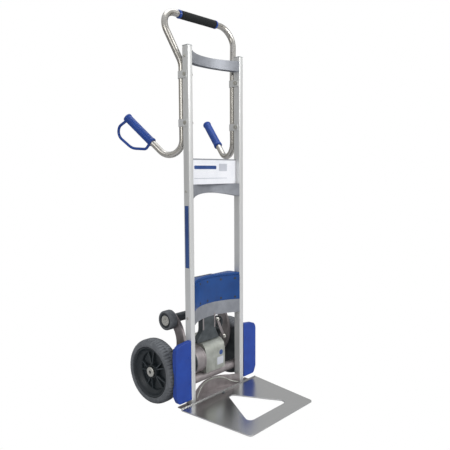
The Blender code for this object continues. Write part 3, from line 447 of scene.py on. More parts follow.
rail_metal = extruded_aluminium()
member_metal = painted_casting("painted_cast_aluminium", "#8c8f95", "#9c9fa6", 0.48, 0.45)
drum_metal = painted_casting("sand_cast_aluminium", "#a4a79f", "#bcbfb8", 0.42, 0.7, 1.4)
arm_metal = painted_casting("warm_cast_aluminium", "#8f8989", "#a8a1a2", 0.45, 0.6, 1.2)
dark_metal = painted_casting("dark_painted_iron", "#3c4144", "#545a5d", 0.5, 0.3, 1.1)
toe_metal = brushed_sheet()
tube_metal = polished_tube()
bolt_metal = zinc_plate()
gear_metal = zinc_plate("hardened_gear_steel", "#85868a", "#a6a7ab")
print("metals:", rail_metal.name, toe_metal.name, tube_metal.name)

# %% [markdown]
# ## Plastics, rubber and foam
# Moulded polypropylene has a fine spark-eroded grain that breaks its shine. Grey tyre rubber is
# dull and holds dust. Foam is full of small open cells, so it hardly reflects at all.

# %% Plastic, rubber and foam finishes
def moulded(name, dark, light, roughness=0.42, grain_mm=0.7, depth_mm=0.06):
    """Injection-moulded plastic with a fine grain."""
    look, tree, surface = finish(name, light, roughness)
    wash = pattern(tree, 60, detail=3.0)
    tint(tree, surface, wash, dark, light)
    grain = pattern(tree, grain_mm, detail=1.5)
    relief(tree, surface, grain, depth_mm, 0.4)
    worn(tree, surface, grain, roughness - 0.05, roughness + 0.08)
    return look


def tyre_rubber():
    """Grey non-marking rubber: dull, faintly dusty and paler where it has rubbed."""
    look, tree, surface = finish("grey_tyre_rubber", "#6f7377", 0.78)
    dust = pattern(tree, 14, detail=6.0)
    tint(tree, surface, dust, "#5d6064", "#74777b", 0.3, 0.75)
    relief(tree, surface, pattern(tree, 0.9), 0.15, 0.5)
    surface.inputs["Specular IOR Level"].default_value = 0.35
    return look


def foam_rubber():
    """Closed-cell foam: nearly black, with cells of about a millimetre."""
    look, tree, surface = finish("black_cell_foam", "#15181a", 0.93)
    where = add_node(tree, "ShaderNodeTexCoord")
    cells = add_node(tree, "ShaderNodeTexVoronoi", Vector=where.outputs["Object"],
                     Scale=1 / (1.3 * MILLIMETRE))
    bump = add_node(tree, "ShaderNodeBump", Height=cells.outputs["Distance"], Strength=0.5,
                    Distance=0.3 * MILLIMETRE)
    tree.links.new(bump.outputs["Normal"], surface.inputs["Normal"])
    tint(tree, surface, pattern(tree, 2.5), "#0d1011", "#1f2325")
    return look


blue_shell = moulded("blue_polypropylene", "#0a3790", "#0d41a2", 0.42, 0.7, 0.03)
case_blue = moulded("dark_blue_polypropylene", "#073d7c", "#0a478c", 0.40, 0.7, 0.03)
grip_blue = moulded("soft_blue_grip", "#0c3c8e", "#11479f", 0.34, 1.0, 0.03)
rim_black = moulded("black_nylon", "#1b2226", "#272e33", 0.42, 0.8)
# The spokes use a lighter, glossier copy of the rim's black nylon.
spoke_black = moulded("lighter_black_nylon", "#2c3338", "#3b4247", 0.36, 0.8)
cap_grey = moulded("grey_cap_plastic", "#9b9fa0", "#abafb0", 0.5)
pack_grey = moulded("dark_grey_abs", "#2b2e31", "#373b3f", 0.5)
white_gloss = moulded("white_gloss_sheet", "#eceef3", "#f6f7fb", 0.25, 4.0, 0.01)
label_blue = moulded("blue_film", "#27447f", "#31528f", 0.3, 3.0, 0.01)
label_grey = moulded("pale_grey_film", "#bfc2ca", "#cbced6", 0.3, 3.0, 0.01)
board_green = moulded("green_laminate", "#1c5a36", "#256b42", 0.35)
tyre_grey = tyre_rubber()
foam_black = foam_rubber()
print("plastics:", blue_shell.name, case_blue.name, grip_blue.name, tyre_grey.name, foam_black.name)

# %% [markdown]
# ## Rails and caps
# The rails are hollow extrusions, so their long edges are already rounded in the model. A finer
# bevel and small screw heads where each cross-member is fixed finish them.

# %% Rails, caps and their screws
RAIL_EDGE = 0.0006
CAP_EDGE = 0.0012
SCREW_R = 0.0052
SCREW_HEAD = 0.0022
SOCKET_R = 0.0024
HEX = 6


def screw_mesh(name, place, way, radius=SCREW_R, height=SCREW_HEAD):
    """A domed button head with a hexagon socket."""
    dome = [(0, height * 0.45), (SOCKET_R, height * 0.45), (SOCKET_R, height)]
    dome += [(radius * math.sin(a), height * (0.45 + 0.55 * math.cos(a)))
             for a in (0.75, 1.1, 1.4)]
    dome += [(radius, 0), (0, 0)]
    return turned_mesh(name, dome, place, way, 24, closed=False)


def hex_head_mesh(name, place, way, radius=0.006, height=0.004, washer=0.0078):
    """A hexagon head on a round washer, with chamfered corners."""
    outline = [Vector((radius * math.cos(math.pi * k / 3), radius * math.sin(math.pi * k / 3)))
               for k in range(HEX)]
    facing = Vector((1, 0, 0)).rotation_difference(Vector(way)).to_matrix().to_4x4()
    head = drawn_mesh(name, [outline], 0.001, height, "X", Matrix.Translation(place) @ facing)
    ring = turned_mesh(name + "_washer", [(0, 0.0013), (washer - 0.0004, 0.0013),
                                          (washer, 0.0009), (washer, 0), (0, 0)],
                       place, way, 28, closed=False)
    shape = bmesh.new()
    shape.from_mesh(head)
    shape.from_mesh(ring)
    shape.to_mesh(head)
    shape.free()
    return head


rail_low, rail_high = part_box("rail_left")
RAIL_OUT = -rail_low.x
RAIL_IN = -rail_high.x
RAIL_BACK = rail_high.y
rail_middle_x = (RAIL_OUT + RAIL_IN) / 2
rail_middle_y = RAIL_BACK / 2
for side in SIDES:
    label = SIDE_NAME[side]
    refined("rail_" + label, rail_metal, RAIL_EDGE)
    refined("rail_cap_" + label, cap_grey, CAP_EDGE, 3)
    fixing_heights = [sum(corner.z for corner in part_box(node)) / 2
                      for node in ("top_crossmember", "middle_crossmember", "lower_crossmember")]
    for number, height in enumerate(fixing_heights):
        place = Vector((side * RAIL_OUT, rail_middle_y + 0.002, height))
        add_piece(f"rail_screw_{label}_{number}", screw_mesh("screw", place, (side, 0, 0)),
                  bolt_metal, "frame")
    for number, height in enumerate((0.395, 0.430, 0.468)):
        place = Vector((side * (RAIL_OUT - 0.0004), rail_middle_y + 0.003, height))
        plug = turned_mesh("plug", [(0, 0.0006), (0.0022, 0.0007), (0.0028, 0.0012),
                                    (0.0034, 0.0007), (0.0034, 0), (0, 0)], place, (side, 0, 0),
                           20, closed=False)
        add_piece(f"rail_plug_{label}_{number}", plug, rail_metal, "frame")
print("rails dressed")

# %% [markdown]
# ## Bowed cross-members
# The three cross-members and the apron on the toe bracket bow backwards so that a barrel sits
# against them. The model draws them with a few flats. Here the same bow gets many steps, with
# the sag and depth read from each frame node's own box.

# %% Cross-members
BOW_STEPS = 40
MEMBER_DEPTH = {"top_crossmember": 0.025, "middle_crossmember": 0.020,
                "lower_crossmember": 0.012}
MEMBER_RISE = {"top_crossmember": 0.005, "middle_crossmember": 0.017, "lower_crossmember": 0.0}
MEMBER_WALL = 0.003
member_low, member_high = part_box("lower_crossmember")
MEMBER_HALF = member_high.x
BOW_SAG = member_high.y - MEMBER_DEPTH["lower_crossmember"]
BOW_RADIUS = (MEMBER_HALF ** 2 + BOW_SAG ** 2) / (2 * BOW_SAG)


def bow(x, offset=0.0):
    """The Y of the concave front face at X, set back by an offset."""
    return math.sqrt((BOW_RADIUS + offset) ** 2 - x * x) - BOW_RADIUS + BOW_SAG


def bow_band(half, front, back, steps=BOW_STEPS):
    """The plan of a bowed band between two set-backs from the front face."""
    xs = [half * (2 * i / steps - 1) for i in range(steps + 1)]
    return ([Vector((x, bow(x, front))) for x in xs]
            + [Vector((x, bow(x, back))) for x in reversed(xs)])


def arch_under(mesh, low, rise, reach):
    """Lift a member's lower edge into an arch."""
    for vertex in mesh.vertices:
        if vertex.co.z < low + reach:
            vertex.co.z += rise * (1 - (vertex.co.x / MEMBER_HALF) ** 2)
    return mesh


for name, depth in MEMBER_DEPTH.items():
    low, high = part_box(name)
    outer = bow_band(MEMBER_HALF, 0, depth)
    inner = bow_band(MEMBER_HALF - MEMBER_WALL, MEMBER_WALL, depth - MEMBER_WALL)
    band = drawn_mesh(name, [outer, inner], low.z, high.z, "Z")
    arch_under(band, low.z, MEMBER_RISE[name], 0.01)
    soften(add_piece(name + "_casting", band, member_metal, "frame", (name,), 30), 0.0008, 2, 50)
print("cross-members: sag", round(BOW_SAG, 4), "radius", round(BOW_RADIUS, 4))

# %% [markdown]
# ## Name plate
# A white plate closes the gap above the middle cross-member. On this one the print is only a
# pale panel, a plain blue band and a thin rule, with no words.

# %% Name plate
PRINT_THICK = 0.0003
plate_low, plate_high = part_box("name_plate")
refined("name_plate", white_gloss, 0.0006, 2)


def film(name, low, high, look, axis="Y", round_by=0.002):
    """A thin printed film with rounded corners, given by two opposite corners."""
    index = "XYZ".index(axis)
    keep = [i for i in range(3) if i != index]
    if axis == "X":
        first, second = (low[1], low[2]), (high[1], high[2])
    else:
        first, second = [tuple(corner[i] for i in keep) for corner in (low, high)]
    corners = [first, (second[0], first[1]), second, (first[0], second[1])]
    mesh = drawn_mesh(name, [rounded([(c, round_by) for c in corners])], low[index], high[index],
                      axis)
    return add_piece(name, mesh, look, "frame")


front = plate_low.y
film("plate_panel", (0.030, front - PRINT_THICK, plate_high.z - 0.048),
     (0.078, front + PRINT_THICK, plate_high.z - 0.018), label_grey)
film("plate_band", (-0.112, front - PRINT_THICK, plate_high.z - 0.040),
     (0.014, front + PRINT_THICK, plate_high.z - 0.026), label_blue, round_by=0.004)
film("plate_rule", (-0.112, front - PRINT_THICK, plate_low.z + 0.022),
     (0.078, front + PRINT_THICK, plate_low.z + 0.025), label_grey, round_by=0.001)
film("plate_edge", (-MEMBER_HALF + 0.002, front - 0.0008, plate_high.z - 0.0035),
     (MEMBER_HALF - 0.002, front + 0.002, plate_high.z + 0.0012), member_metal, round_by=0.0008)
strip_out = -RAIL_OUT
film("rail_strip_left", (strip_out - PRINT_THICK, 0.0055, 0.5546),
     (strip_out + PRINT_THICK, RAIL_BACK - 0.0055, 0.7975), label_blue, "X")
print("name plate is", round((plate_high.x - plate_low.x) * 1000), "mm wide")

# %% [markdown]
# ## Toe plate
# The toe plate is pressed from sheet steel: flat, tapered, with a raised lip along the back, a
# slight bend near the front edge, and a triangular window. The sheet here is drawn flat, without
# the bend. Its slope is read from the frame, so the plate built here lies exactly where the
# model's does.

# %% Toe plate
TOE_THICK = 0.0045
TOE_FRONT_ROUND = 0.016
WINDOW_ROUND = 0.018
LIP_THICK = 0.0022
LIP_HIGH = 0.0042
toe_low, toe_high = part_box("toe_plate")
TOE_BACK_HALF = toe_high.x
TOE_FRONT_HALF = 0.197
TOE_TILT = math.asin((toe_high.z - TOE_THICK - toe_low.z) / (toe_high.y - toe_low.y))
toe_place = (Matrix.Translation((0, toe_high.y, toe_high.z))
             @ Matrix.Rotation(TOE_TILT, 4, "X"))
toe_length = (toe_high.y - toe_low.y) / math.cos(TOE_TILT)
window = {"apex": -0.0545, "base": -0.2525, "apex_half": 0.012, "base_half": 0.124}


def toe_sheet():
    """The toe plate with its window and rounded front corners, drawn flat."""
    length = toe_length - 0.0002
    outline = rounded([((-TOE_FRONT_HALF, -length), TOE_FRONT_ROUND),
                       ((TOE_FRONT_HALF, -length), TOE_FRONT_ROUND),
                       ((TOE_BACK_HALF, 0), 0.006), ((-TOE_BACK_HALF, 0), 0.006)])
    hole = rounded([((-window["base_half"], window["base"]), WINDOW_ROUND),
                    ((window["base_half"], window["base"]), WINDOW_ROUND),
                    ((window["apex_half"], window["apex"]), WINDOW_ROUND * 0.6),
                    ((-window["apex_half"], window["apex"]), WINDOW_ROUND * 0.6)], steps=8)
    return drawn_mesh("toe_sheet", [outline, hole], -TOE_THICK, 0, "Z", toe_place)


sheet = add_piece("toe_sheet", toe_sheet(), toe_metal, "frame", ("toe_plate",), 30)
soften(sheet, 0.0012, 3)
lip_shape = drawn_mesh("toe_lip", [rounded([((-TOE_BACK_HALF + 0.004, -LIP_THICK), 0.001),
                                            ((TOE_BACK_HALF - 0.004, -LIP_THICK), 0.001),
                                            ((TOE_BACK_HALF - 0.004, 0), 0.001),
                                            ((-TOE_BACK_HALF + 0.004, 0), 0.001)])],
                       -0.001, LIP_HIGH, "Z", toe_place)
soften(add_piece("toe_lip", lip_shape, toe_metal, "frame"), 0.0009, 3)
refined("toe_bracket", arm_metal, 0.0012, 3)
BEAD_R = 0.0024
BEAD_LOW = 0.014
BEAD_HIGH = 0.052
BEAD_HALF = 0.128
bead_path = []
for step in range(49):
    share = step / 24 - 1
    rise = 0.5 + 0.5 * math.cos(math.pi * abs(share) ** 1.6)
    x = BEAD_HALF * share
    bead_path.append(Vector((x, bow(x), BEAD_LOW + (BEAD_HIGH - BEAD_LOW) * rise)))
add_piece("bracket_bead", bar_mesh("bead", bead_path, BEAD_R, 16), drum_metal, "frame")
add_piece("toe_screw_head", screw_mesh("toe_screw_head",
                                       toe_place @ Vector((0, -0.0145, 0.0002)),
                                       toe_place.to_3x3() @ Vector((0, 0, 1)), 0.006, 0.003),
          dark_metal, "frame", ("toe_screw",))
print("toe plate slope", round(math.degrees(TOE_TILT), 2), "degrees")

# %% [markdown]
# ## Main wheels
# Each wheel is a grey solid tyre on a black nylon rim. The tread is a ring of shallow blocks
# with sipes between them, the rim has five pairs of spokes set back in a dish, and a bright cap
# covers the axle's end.

# %% Tyres
TREAD_BLOCKS = 60
SIPE_DEPTH = 0.0028
SIPE_SHARE = 0.26           # of a block's pitch


def tyre_mesh(name, centre, radius, inner, width, side):
    """A tyre built ring by ring, with sipes that cut into both shoulders of the tread."""
    half = width / 2
    crown = [(inner, half - 0.004), (inner + 0.002, half - 0.0012), (inner + 0.006, half),
             (radius - 0.0145, half - 0.0005), (radius - 0.0090, half - 0.0035),
             (radius - 0.0045, half - 0.0085), (radius - 0.0012, half - 0.0155),
             (radius, half - 0.0225), (radius, half - 0.0275), (radius, half - 0.0282)]
    profile = crown + [(r, -h) for r, h in reversed(crown)]
    cut_share = {3: 0.0, 4: 0.35, 5: 0.9, 6: 1.0, 7: 1.0, 8: 1.0, 9: 0.0}
    count = len(crown)
    steps = TREAD_BLOCKS * 4
    shape = bmesh.new()
    rings = []
    for step in range(steps):
        phase = step % 4
        angle = 2 * math.pi * (step // 4 + (0, SIPE_SHARE * 0.25, SIPE_SHARE, SIPE_SHARE * 1.25)
                               [phase]) / TREAD_BLOCKS
        in_sipe = phase in (1, 2)
        ring = []
        for index, (r, h) in enumerate(profile):
            place = index if index < count else 2 * count - 1 - index
            depth = SIPE_DEPTH * cut_share.get(place, 0.0) if in_sipe else 0.0
            shift = 0.5 * (1 if index < count else 0) * 2 * math.pi / TREAD_BLOCKS
            turn_by = angle + (shift if place >= 3 else 0)
            ring.append(shape.verts.new((centre[0] + side * h,
                                         centre[1] + (r - depth) * math.cos(turn_by),
                                         centre[2] + (r - depth) * math.sin(turn_by))))
        rings.append(ring)
    total = len(profile)
    for step in range(steps):
        this, following = rings[step], rings[(step + 1) % steps]
        for k in range(total):
            shape.faces.new((this[k], this[(k + 1) % total], following[(k + 1) % total],
                             following[k]))
    return mesh_of(name, shape)


tyre_low, tyre_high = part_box("tyre_right")
WHEEL_R = (tyre_high.z - tyre_low.z) / 2
WHEEL_WIDTH = tyre_high.x - tyre_low.x
WHEEL_X = (tyre_high.x + tyre_low.x) / 2
AXLE_Y = (tyre_high.y + tyre_low.y) / 2
AXLE_Z = (tyre_high.z + tyre_low.z) / 2
rim_low, rim_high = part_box("rim_right")
RIM_R = (rim_high.z - rim_low.z) / 2
for side in SIDES:
    label = SIDE_NAME[side]
    centre = (side * WHEEL_X, AXLE_Y, AXLE_Z)
    add_piece("tread_tyre_" + label,
              tyre_mesh("tread_tyre", centre, WHEEL_R, RIM_R + 0.0004, WHEEL_WIDTH, side),
              tyre_grey, "wheel_" + label, ("tyre_" + label,), 28)
print("tyre", round(WHEEL_R * 2000), "mm across with", TREAD_BLOCKS, "blocks a side")

# %% Rims and hub caps
SPOKE_PAIRS = 5
SPOKE_THICK = 0.009
DISH = 0.004                # the spokes' front stands this far out from the wheel's middle
RIM_HALF = (rim_high.x - rim_low.x) / 2
HUB_R = 0.027
LIP_WIDTH = 0.008


def rim_barrel(name, origin, way):
    """The rim's rolled lip, its dished barrel and the closed wall behind the spokes."""
    lip = RIM_R - LIP_WIDTH
    well = lip - 0.010
    profile = [(RIM_R, RIM_HALF - 0.002), (RIM_R - 0.002, RIM_HALF), (lip + 0.004, RIM_HALF),
               (lip + 0.001, RIM_HALF - 0.002), (lip - 0.001, RIM_HALF - 0.008),
               (well + 0.003, DISH + 0.008), (well - 0.004, DISH + 0.005),
               (well - 0.008, DISH + 0.001), (well - 0.009, DISH - 0.006),
               (0.0108, DISH - 0.007), (0.0108, DISH - 0.010), (well, DISH - 0.010),
               (lip - 0.001, -RIM_HALF + 0.006), (lip, -RIM_HALF), (RIM_R, -RIM_HALF)]
    return turned_mesh(name, profile, origin, way, 96)


def spoke_mesh(name, origin, way, angle, spread):
    """One tapered spoke with a rounded front, leaning away from its pair's middle."""
    facing = Vector((0, 0, 1)).rotation_difference(Vector(way)).to_matrix().to_4x4()
    well = RIM_R - LIP_WIDTH - 0.016
    shape = bmesh.new()
    rings = []
    for step in range(7):
        share = step / 6
        radius = HUB_R - 0.004 + (well - HUB_R + 0.006) * share
        lean = angle + spread * share ** 0.8
        half_wide = 0.0034 - 0.0006 * math.sin(math.pi * share)
        front = DISH + 0.008 * (1 - share) ** 1.5 + 0.002
        out = Vector((math.cos(lean), math.sin(lean), 0))
        side_way = Vector((-math.sin(lean), math.cos(lean), 0))
        ring = []
        for across, high in ((-1, -1), (1, -1), (1, 0.55), (0.55, 1), (-0.55, 1), (-1, 0.55)):
            level = front if high > 0 else front - SPOKE_THICK
            level -= (1 - high) * 0.004 if high > 0 else 0
            ring.append(shape.verts.new(out * radius + side_way * half_wide * across
                                        + Vector((0, 0, level))))
        rings.append(ring)
    for ring, following in zip(rings, rings[1:]):
        for k in range(6):
            shape.faces.new((ring[k], ring[(k + 1) % 6], following[(k + 1) % 6], following[k]))
    shape.faces.new(rings[0])
    shape.faces.new(list(reversed(rings[-1])))
    shape.transform(Matrix.Translation(Vector(origin)) @ facing)
    return mesh_of(name, shape)


def hub_mesh(name, origin, way):
    """The hub boss with a raised ring."""
    profile = [(0.0108, 0.0195), (HUB_R - 0.006, 0.0195), (HUB_R - 0.005, 0.0165),
               (HUB_R - 0.001, 0.0155), (HUB_R + 0.001, DISH + 0.006), (HUB_R + 0.002, DISH - 0.008),
               (HUB_R, -0.026), (0.0108, -0.026)]
    return turned_mesh(name, profile, origin, way, 64)


for side in SIDES:
    label = SIDE_NAME[side]
    origin = (side * WHEEL_X, AXLE_Y, AXLE_Z)
    way = (side, 0, 0)
    body = "wheel_" + label
    add_piece("rim_barrel_" + label, rim_barrel("rim_barrel", origin, way), rim_black, body,
              ("rim_" + label,))
    add_piece("rim_hub_" + label, hub_mesh("rim_hub", origin, way), rim_black, body)
    for pair in range(SPOKE_PAIRS):
        for lean in SIDES:
            angle = 2 * math.pi * pair / SPOKE_PAIRS + 0.25 + lean * 0.10
            spoke = spoke_mesh("spoke", origin, way, angle, lean * 0.13)
            soften(add_piece(f"spoke_{label}_{pair}_{SIDE_NAME[lean]}", spoke, spoke_black, body),
                   0.0012, 3)
    cap_low, cap_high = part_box("hub_cap_" + label)
    cap_r = (cap_high.z - cap_low.z) / 2
    face = max(abs(cap_high.x), abs(cap_low.x)) - WHEEL_X
    base = min(abs(cap_high.x), abs(cap_low.x)) - WHEEL_X
    cap = [(0.0055, face - 0.0035), (0.0065, face - 0.001), (0.0085, face), (cap_r - 0.005, face),
           (cap_r - 0.002, face - 0.001), (cap_r, face - 0.0035), (cap_r, base), (0.0055, base)]
    add_piece("hub_ring_" + label, turned_mesh("hub_ring", cap, origin, way, 64), bolt_metal, body,
              ("hub_cap_" + label,))
    dot = [(0, face - 0.003), (0.0054, face - 0.003), (0.0054, base), (0, base)]
    add_piece("hub_plug_" + label, turned_mesh("hub_plug", dot, origin, way, 32, False), rim_black,
              body)
print("rims with", SPOKE_PAIRS, "pairs of spokes")

# %% [markdown]
# ## Wheel guards
# Blue moulded guards keep trousers and steps off the tyres. Their outline is a tray with two
# big outer corners. Three raised ribs on the front and a bead round the edge stiffen it. Here the
# model's guard only gets rounded edges and two screws on its front.

# %% Wheel guards
GUARD_EDGE = 0.0022
for side in SIDES:
    label = SIDE_NAME[side]
    guard_low, guard_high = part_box("wheel_guard_" + label)
    refined("wheel_guard_" + label, blue_shell, GUARD_EDGE, 4, 50, 50)
    front = guard_low.y
    inner_x = min(abs(guard_low.x), abs(guard_high.x))
    outer_x = max(abs(guard_low.x), abs(guard_high.x))
    for number, height in enumerate((0.095, 0.205)):
        place = Vector((side * (inner_x + 0.012), front + 0.0001, height))
        add_piece(f"guard_screw_{label}_{number}",
                  screw_mesh("guard_screw", place, (0, -1, 0), 0.004, 0.0014), blue_shell,
                  "frame")
print("guards:", round((outer_x - inner_x) * 1000), "mm wide")

# %% [markdown]
# ## Axle brackets and cross tube
# These carry the weight and are plain painted steel. Rounded edges are all they need.

# %% Axle parts
for side in SIDES:
    refined("axle_bracket_" + SIDE_NAME[side], dark_metal, 0.0012, 3)
tube_low, tube_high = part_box("lower_cross_tube")
cross_r = (tube_high.z - tube_low.z) / 2
cross_centre = (0, (tube_low.y + tube_high.y) / 2, (tube_low.z + tube_high.z) / 2)
half = tube_high.x
ring_at = 0.066
cross_profile = [(cross_r - 0.003, half), (cross_r, half - 0.0003), (cross_r, ring_at + 0.012),
                 (cross_r + 0.0000, ring_at), (cross_r, -ring_at), (cross_r, -half + 0.0003),
                 (cross_r - 0.003, -half)]
add_piece("cross_tube_turned", turned_mesh("cross_tube", cross_profile, cross_centre, (1, 0, 0),
                                           48), arm_metal, "frame", ("lower_cross_tube",))
axle_low, axle_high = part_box("main_axle")
axle_r = (axle_high.z - axle_low.z) / 2
axle_end = axle_high.x
axle_profile = [(0, axle_end), (axle_r - 0.001, axle_end), (axle_r, axle_end - 0.001),
                (axle_r, -axle_end + 0.001), (axle_r - 0.001, -axle_end), (0, -axle_end)]
add_piece("axle_turned", turned_mesh("axle", axle_profile, (0, AXLE_Y, AXLE_Z), (1, 0, 0), 40,
                                     False), gear_metal, "frame", ("main_axle",))
print("axle radius", round(axle_r * 1000, 1), "mm")

# %% [markdown]
# ## Lift arms and support wheels
# Two banana-shaped castings swing the small wheels. A raised flange follows the outline of each
# arm and a boss surrounds each axle, because a casting puts metal where the load runs.

# %% Lift arms
shaft_low, shaft_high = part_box("lift_shaft")
SHAFT_R = (shaft_high.z - shaft_low.z) / 2
tip_low, tip_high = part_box("lift_cross_tube")
TIP_R = (tip_high.z - tip_low.z) / 2
TIP = Vector(((tip_low.y + tip_high.y) / 2, (tip_low.z + tip_high.z) / 2))
PIVOT = Vector((AXLE_Y, AXLE_Z))
ARM_BOW = 0.055
ARM_WIDTH = 0.046
FLANGE_RISE = 0.0006
BOSS_RISE = 0.0009


def arc_points(centre, radius, start, sweep, steps):
    """Points along an arc."""
    angles = [start + sweep * i / steps for i in range(steps + 1)]
    return [Vector((centre[0] + radius * math.cos(a), centre[1] + radius * math.sin(a)))
            for a in angles]


def arm_outline(inset=0.0, steps=32):
    """The arm's outline, drawn inside itself by an inset."""
    chord = (TIP - PIVOT).length
    along = (TIP - PIVOT).normalized()
    sideways = Vector((along.y, -along.x))
    radius = (chord ** 2 / 4 + ARM_BOW ** 2) / (2 * ARM_BOW)
    centre = (PIVOT + TIP) / 2 + sideways * (radius - ARM_BOW)
    first = math.atan2(*(TIP - centre).yx)
    last = math.atan2(*(PIVOT - centre).yx) % (2 * math.pi)
    half_wide = ARM_WIDTH / 2 - inset
    points = arc_points(centre, radius + half_wide, first, last - first, steps)
    points += arc_points(PIVOT, half_wide, last, math.pi, 16)[1:-1]
    points += list(reversed(arc_points(centre, radius - half_wide, first, last - first, steps)))
    points += arc_points(TIP, half_wide, first + math.pi, math.pi, 16)[1:-1]
    return points


def ring_points(centre, radius, steps=40):
    """Points around a full circle."""
    return arc_points(centre, radius, 0, 2 * math.pi, steps)[:-1]


for side in SIDES:
    label = SIDE_NAME[side]
    arm_low, arm_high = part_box("lift_arm_" + label)
    holes = [ring_points(PIVOT, SHAFT_R + 0.0004), ring_points(TIP, 0.0080)]
    body = drawn_mesh("arm", [arm_outline()] + holes, arm_low.x, arm_high.x, "X")
    soften(add_piece("lift_arm_casting_" + label, body, arm_metal, "lift",
                     ("lift_arm_" + label,)), 0.0030, 4, 60)
    for number, (near, way) in enumerate(((arm_low.x, -1), (arm_high.x, 1))):
        rise = FLANGE_RISE * way
        loops = [arm_outline(0.0034), arm_outline(0.0074)]
        bead = drawn_mesh("bead", loops, min(near - rise, near + rise),
                          max(near - rise, near + rise), "X")
        soften(add_piece(f"arm_bead_{label}_{number}", bead, arm_metal, "lift"), 0.0004, 2)
    face = side * max(abs(arm_low.x), abs(arm_high.x))
    for place, radius, bore in ((PIVOT, 0.021, SHAFT_R + 0.0004), (TIP, 0.0165, 0.0080)):
        boss = [(bore, BOSS_RISE * 2), (radius - 0.001, BOSS_RISE * 2), (radius, BOSS_RISE),
                (radius, -0.001), (bore, -0.001)]
        add_piece(f"arm_boss_{label}_{round(radius * 1e4)}",
                  turned_mesh("boss", boss, (face, *place), (side, 0, 0), 48), arm_metal, "lift")
tip_x = min(abs(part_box("lift_arm_right")[0].x), abs(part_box("lift_arm_right")[1].x)) - 0.0003
pin_x = tip_high.x
pin_r = 0.0075
tip_profile = [(0, pin_x), (pin_r, pin_x), (pin_r, tip_x), (TIP_R - 0.001, tip_x),
               (TIP_R, tip_x - 0.001), (TIP_R, -tip_x + 0.001), (TIP_R - 0.001, -tip_x),
               (pin_r, -tip_x), (pin_r, -pin_x), (0, -pin_x)]
add_piece("lift_tip_tube", turned_mesh("tip", tip_profile, (0, *TIP), (1, 0, 0), 48, False),
          dark_metal, "lift", ("lift_cross_tube",))
shaft_x = shaft_high.x
shaft_profile = [(axle_r + 0.0008, shaft_x), (SHAFT_R - 0.0008, shaft_x),
                 (SHAFT_R, shaft_x - 0.0008), (SHAFT_R, -shaft_x + 0.0008),
                 (SHAFT_R - 0.0008, -shaft_x), (axle_r + 0.0008, -shaft_x)]
add_piece("lift_shaft_turned", turned_mesh("shaft", shaft_profile, (0, AXLE_Y, AXLE_Z), (1, 0, 0),
                                           48), gear_metal, "lift", ("lift_shaft",))
refined("drive_gear", gear_metal, 0.0002, 1)
refined("motor_pinion", gear_metal, 0.0002, 1)
print("arm reach", round((TIP - PIVOT).length * 1000), "mm")

# %% Support wheels
SUPPORT_RIBS = 4
for side in SIDES:
    label = SIDE_NAME[side]
    body = "support_wheel_" + label
    low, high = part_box("support_tyre_" + label)
    radius = (high.z - low.z) / 2
    wide = (high.x - low.x) / 2
    origin = ((low.x + high.x) / 2, *TIP)
    way = (side, 0, 0)
    hub_low, hub_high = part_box("support_hub_" + label)
    hub_r = (hub_high.z - hub_low.z) / 2
    tyre = [(hub_r + 0.0003, wide - 0.004), (hub_r + 0.002, wide - 0.0008), (hub_r + 0.004, wide),
            (radius - 0.006, wide), (radius - 0.003, wide - 0.0008), (radius - 0.0008, wide - 0.003),
            (radius, wide - 0.006)]
    tyre += [(r, -h) for r, h in reversed(tyre)]
    add_piece("support_tyre_turned_" + label, turned_mesh("tyre", tyre, origin, way, 72),
              tyre_grey, body, ("support_tyre_" + label,))
    dish = [(0, wide - 0.0015), (0.0075, wide - 0.0015), (0.0085, wide - 0.0028),
            (hub_r - 0.0075, wide - 0.0034), (hub_r - 0.0055, wide - 0.0010),
            (hub_r - 0.001, wide - 0.0010), (hub_r, wide - 0.002), (hub_r, -wide + 0.0015),
            (0.0085, -wide + 0.0015), (0.0085, wide - 0.006), (0, wide - 0.006)]
    add_piece("support_hub_turned_" + label, turned_mesh("hub", dish, origin, way, 64, False),
              rim_black, body, ("support_hub_" + label,))
    disc = [(0, wide - 0.0016), (0.0055, wide - 0.0010), (0.0070, wide - 0.0018),
            (hub_r - 0.0085, wide - 0.0024), (hub_r - 0.0078, wide - 0.0032), (0, wide - 0.0040)]
    add_piece("support_disc_" + label, turned_mesh("disc", disc, origin, way, 64, False),
              bolt_metal, body)
    for rib in range(SUPPORT_RIBS):
        angle = math.pi * 2 * rib / SUPPORT_RIBS + 0.5
        outline = rounded([((0.006, -0.0022), 0.0006), ((hub_r - 0.009, -0.0032), 0.001),
                           ((hub_r - 0.009, 0.0032), 0.001), ((0.006, 0.0022), 0.0006)])
        face = wide - 0.0008
        place = (Matrix.Translation(origin)
                 @ Vector((1, 0, 0)).rotation_difference(Vector(way)).to_matrix().to_4x4()
                 @ Matrix.Rotation(angle, 4, "X"))
        rib_mesh = drawn_mesh("rib", [outline], face - 0.0024, face, "X", place)
        soften(add_piece(f"support_rib_{label}_{rib}", rib_mesh, bolt_metal, body), 0.0004, 2)
print("support wheel", round(radius * 2000), "mm across")

# %% [markdown]
# ## Battery case and pack
# The blue case between the rails is moulded with a broad round along its front edges and closed
# by two rows of dark screws. Behind it the battery pack slides down onto a shelf.

# %% Battery case
case_low, case_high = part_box("battery_case")
CASE_EDGE = 0.0028
CASE_WALL = 0.003
CASE_CHAMFER = 0.012
CASE_LID = 0.012
CASE_SCREW_XS = (-0.118, -0.069, -0.016, 0.058, 0.118)


def case_plan(inset):
    """The case's plan: bowed front, straight sides and chamfered rear corners."""
    half = MEMBER_HALF - inset
    rear = case_high.y - inset
    chamfer = CASE_CHAMFER + inset * 0.4
    bowed = bow_band(half, inset, inset)[:BOW_STEPS + 1]
    return bowed + [Vector((half, rear - chamfer)), Vector((half - chamfer, rear)),
                    Vector((chamfer - half, rear)), Vector((-half, rear - chamfer))]


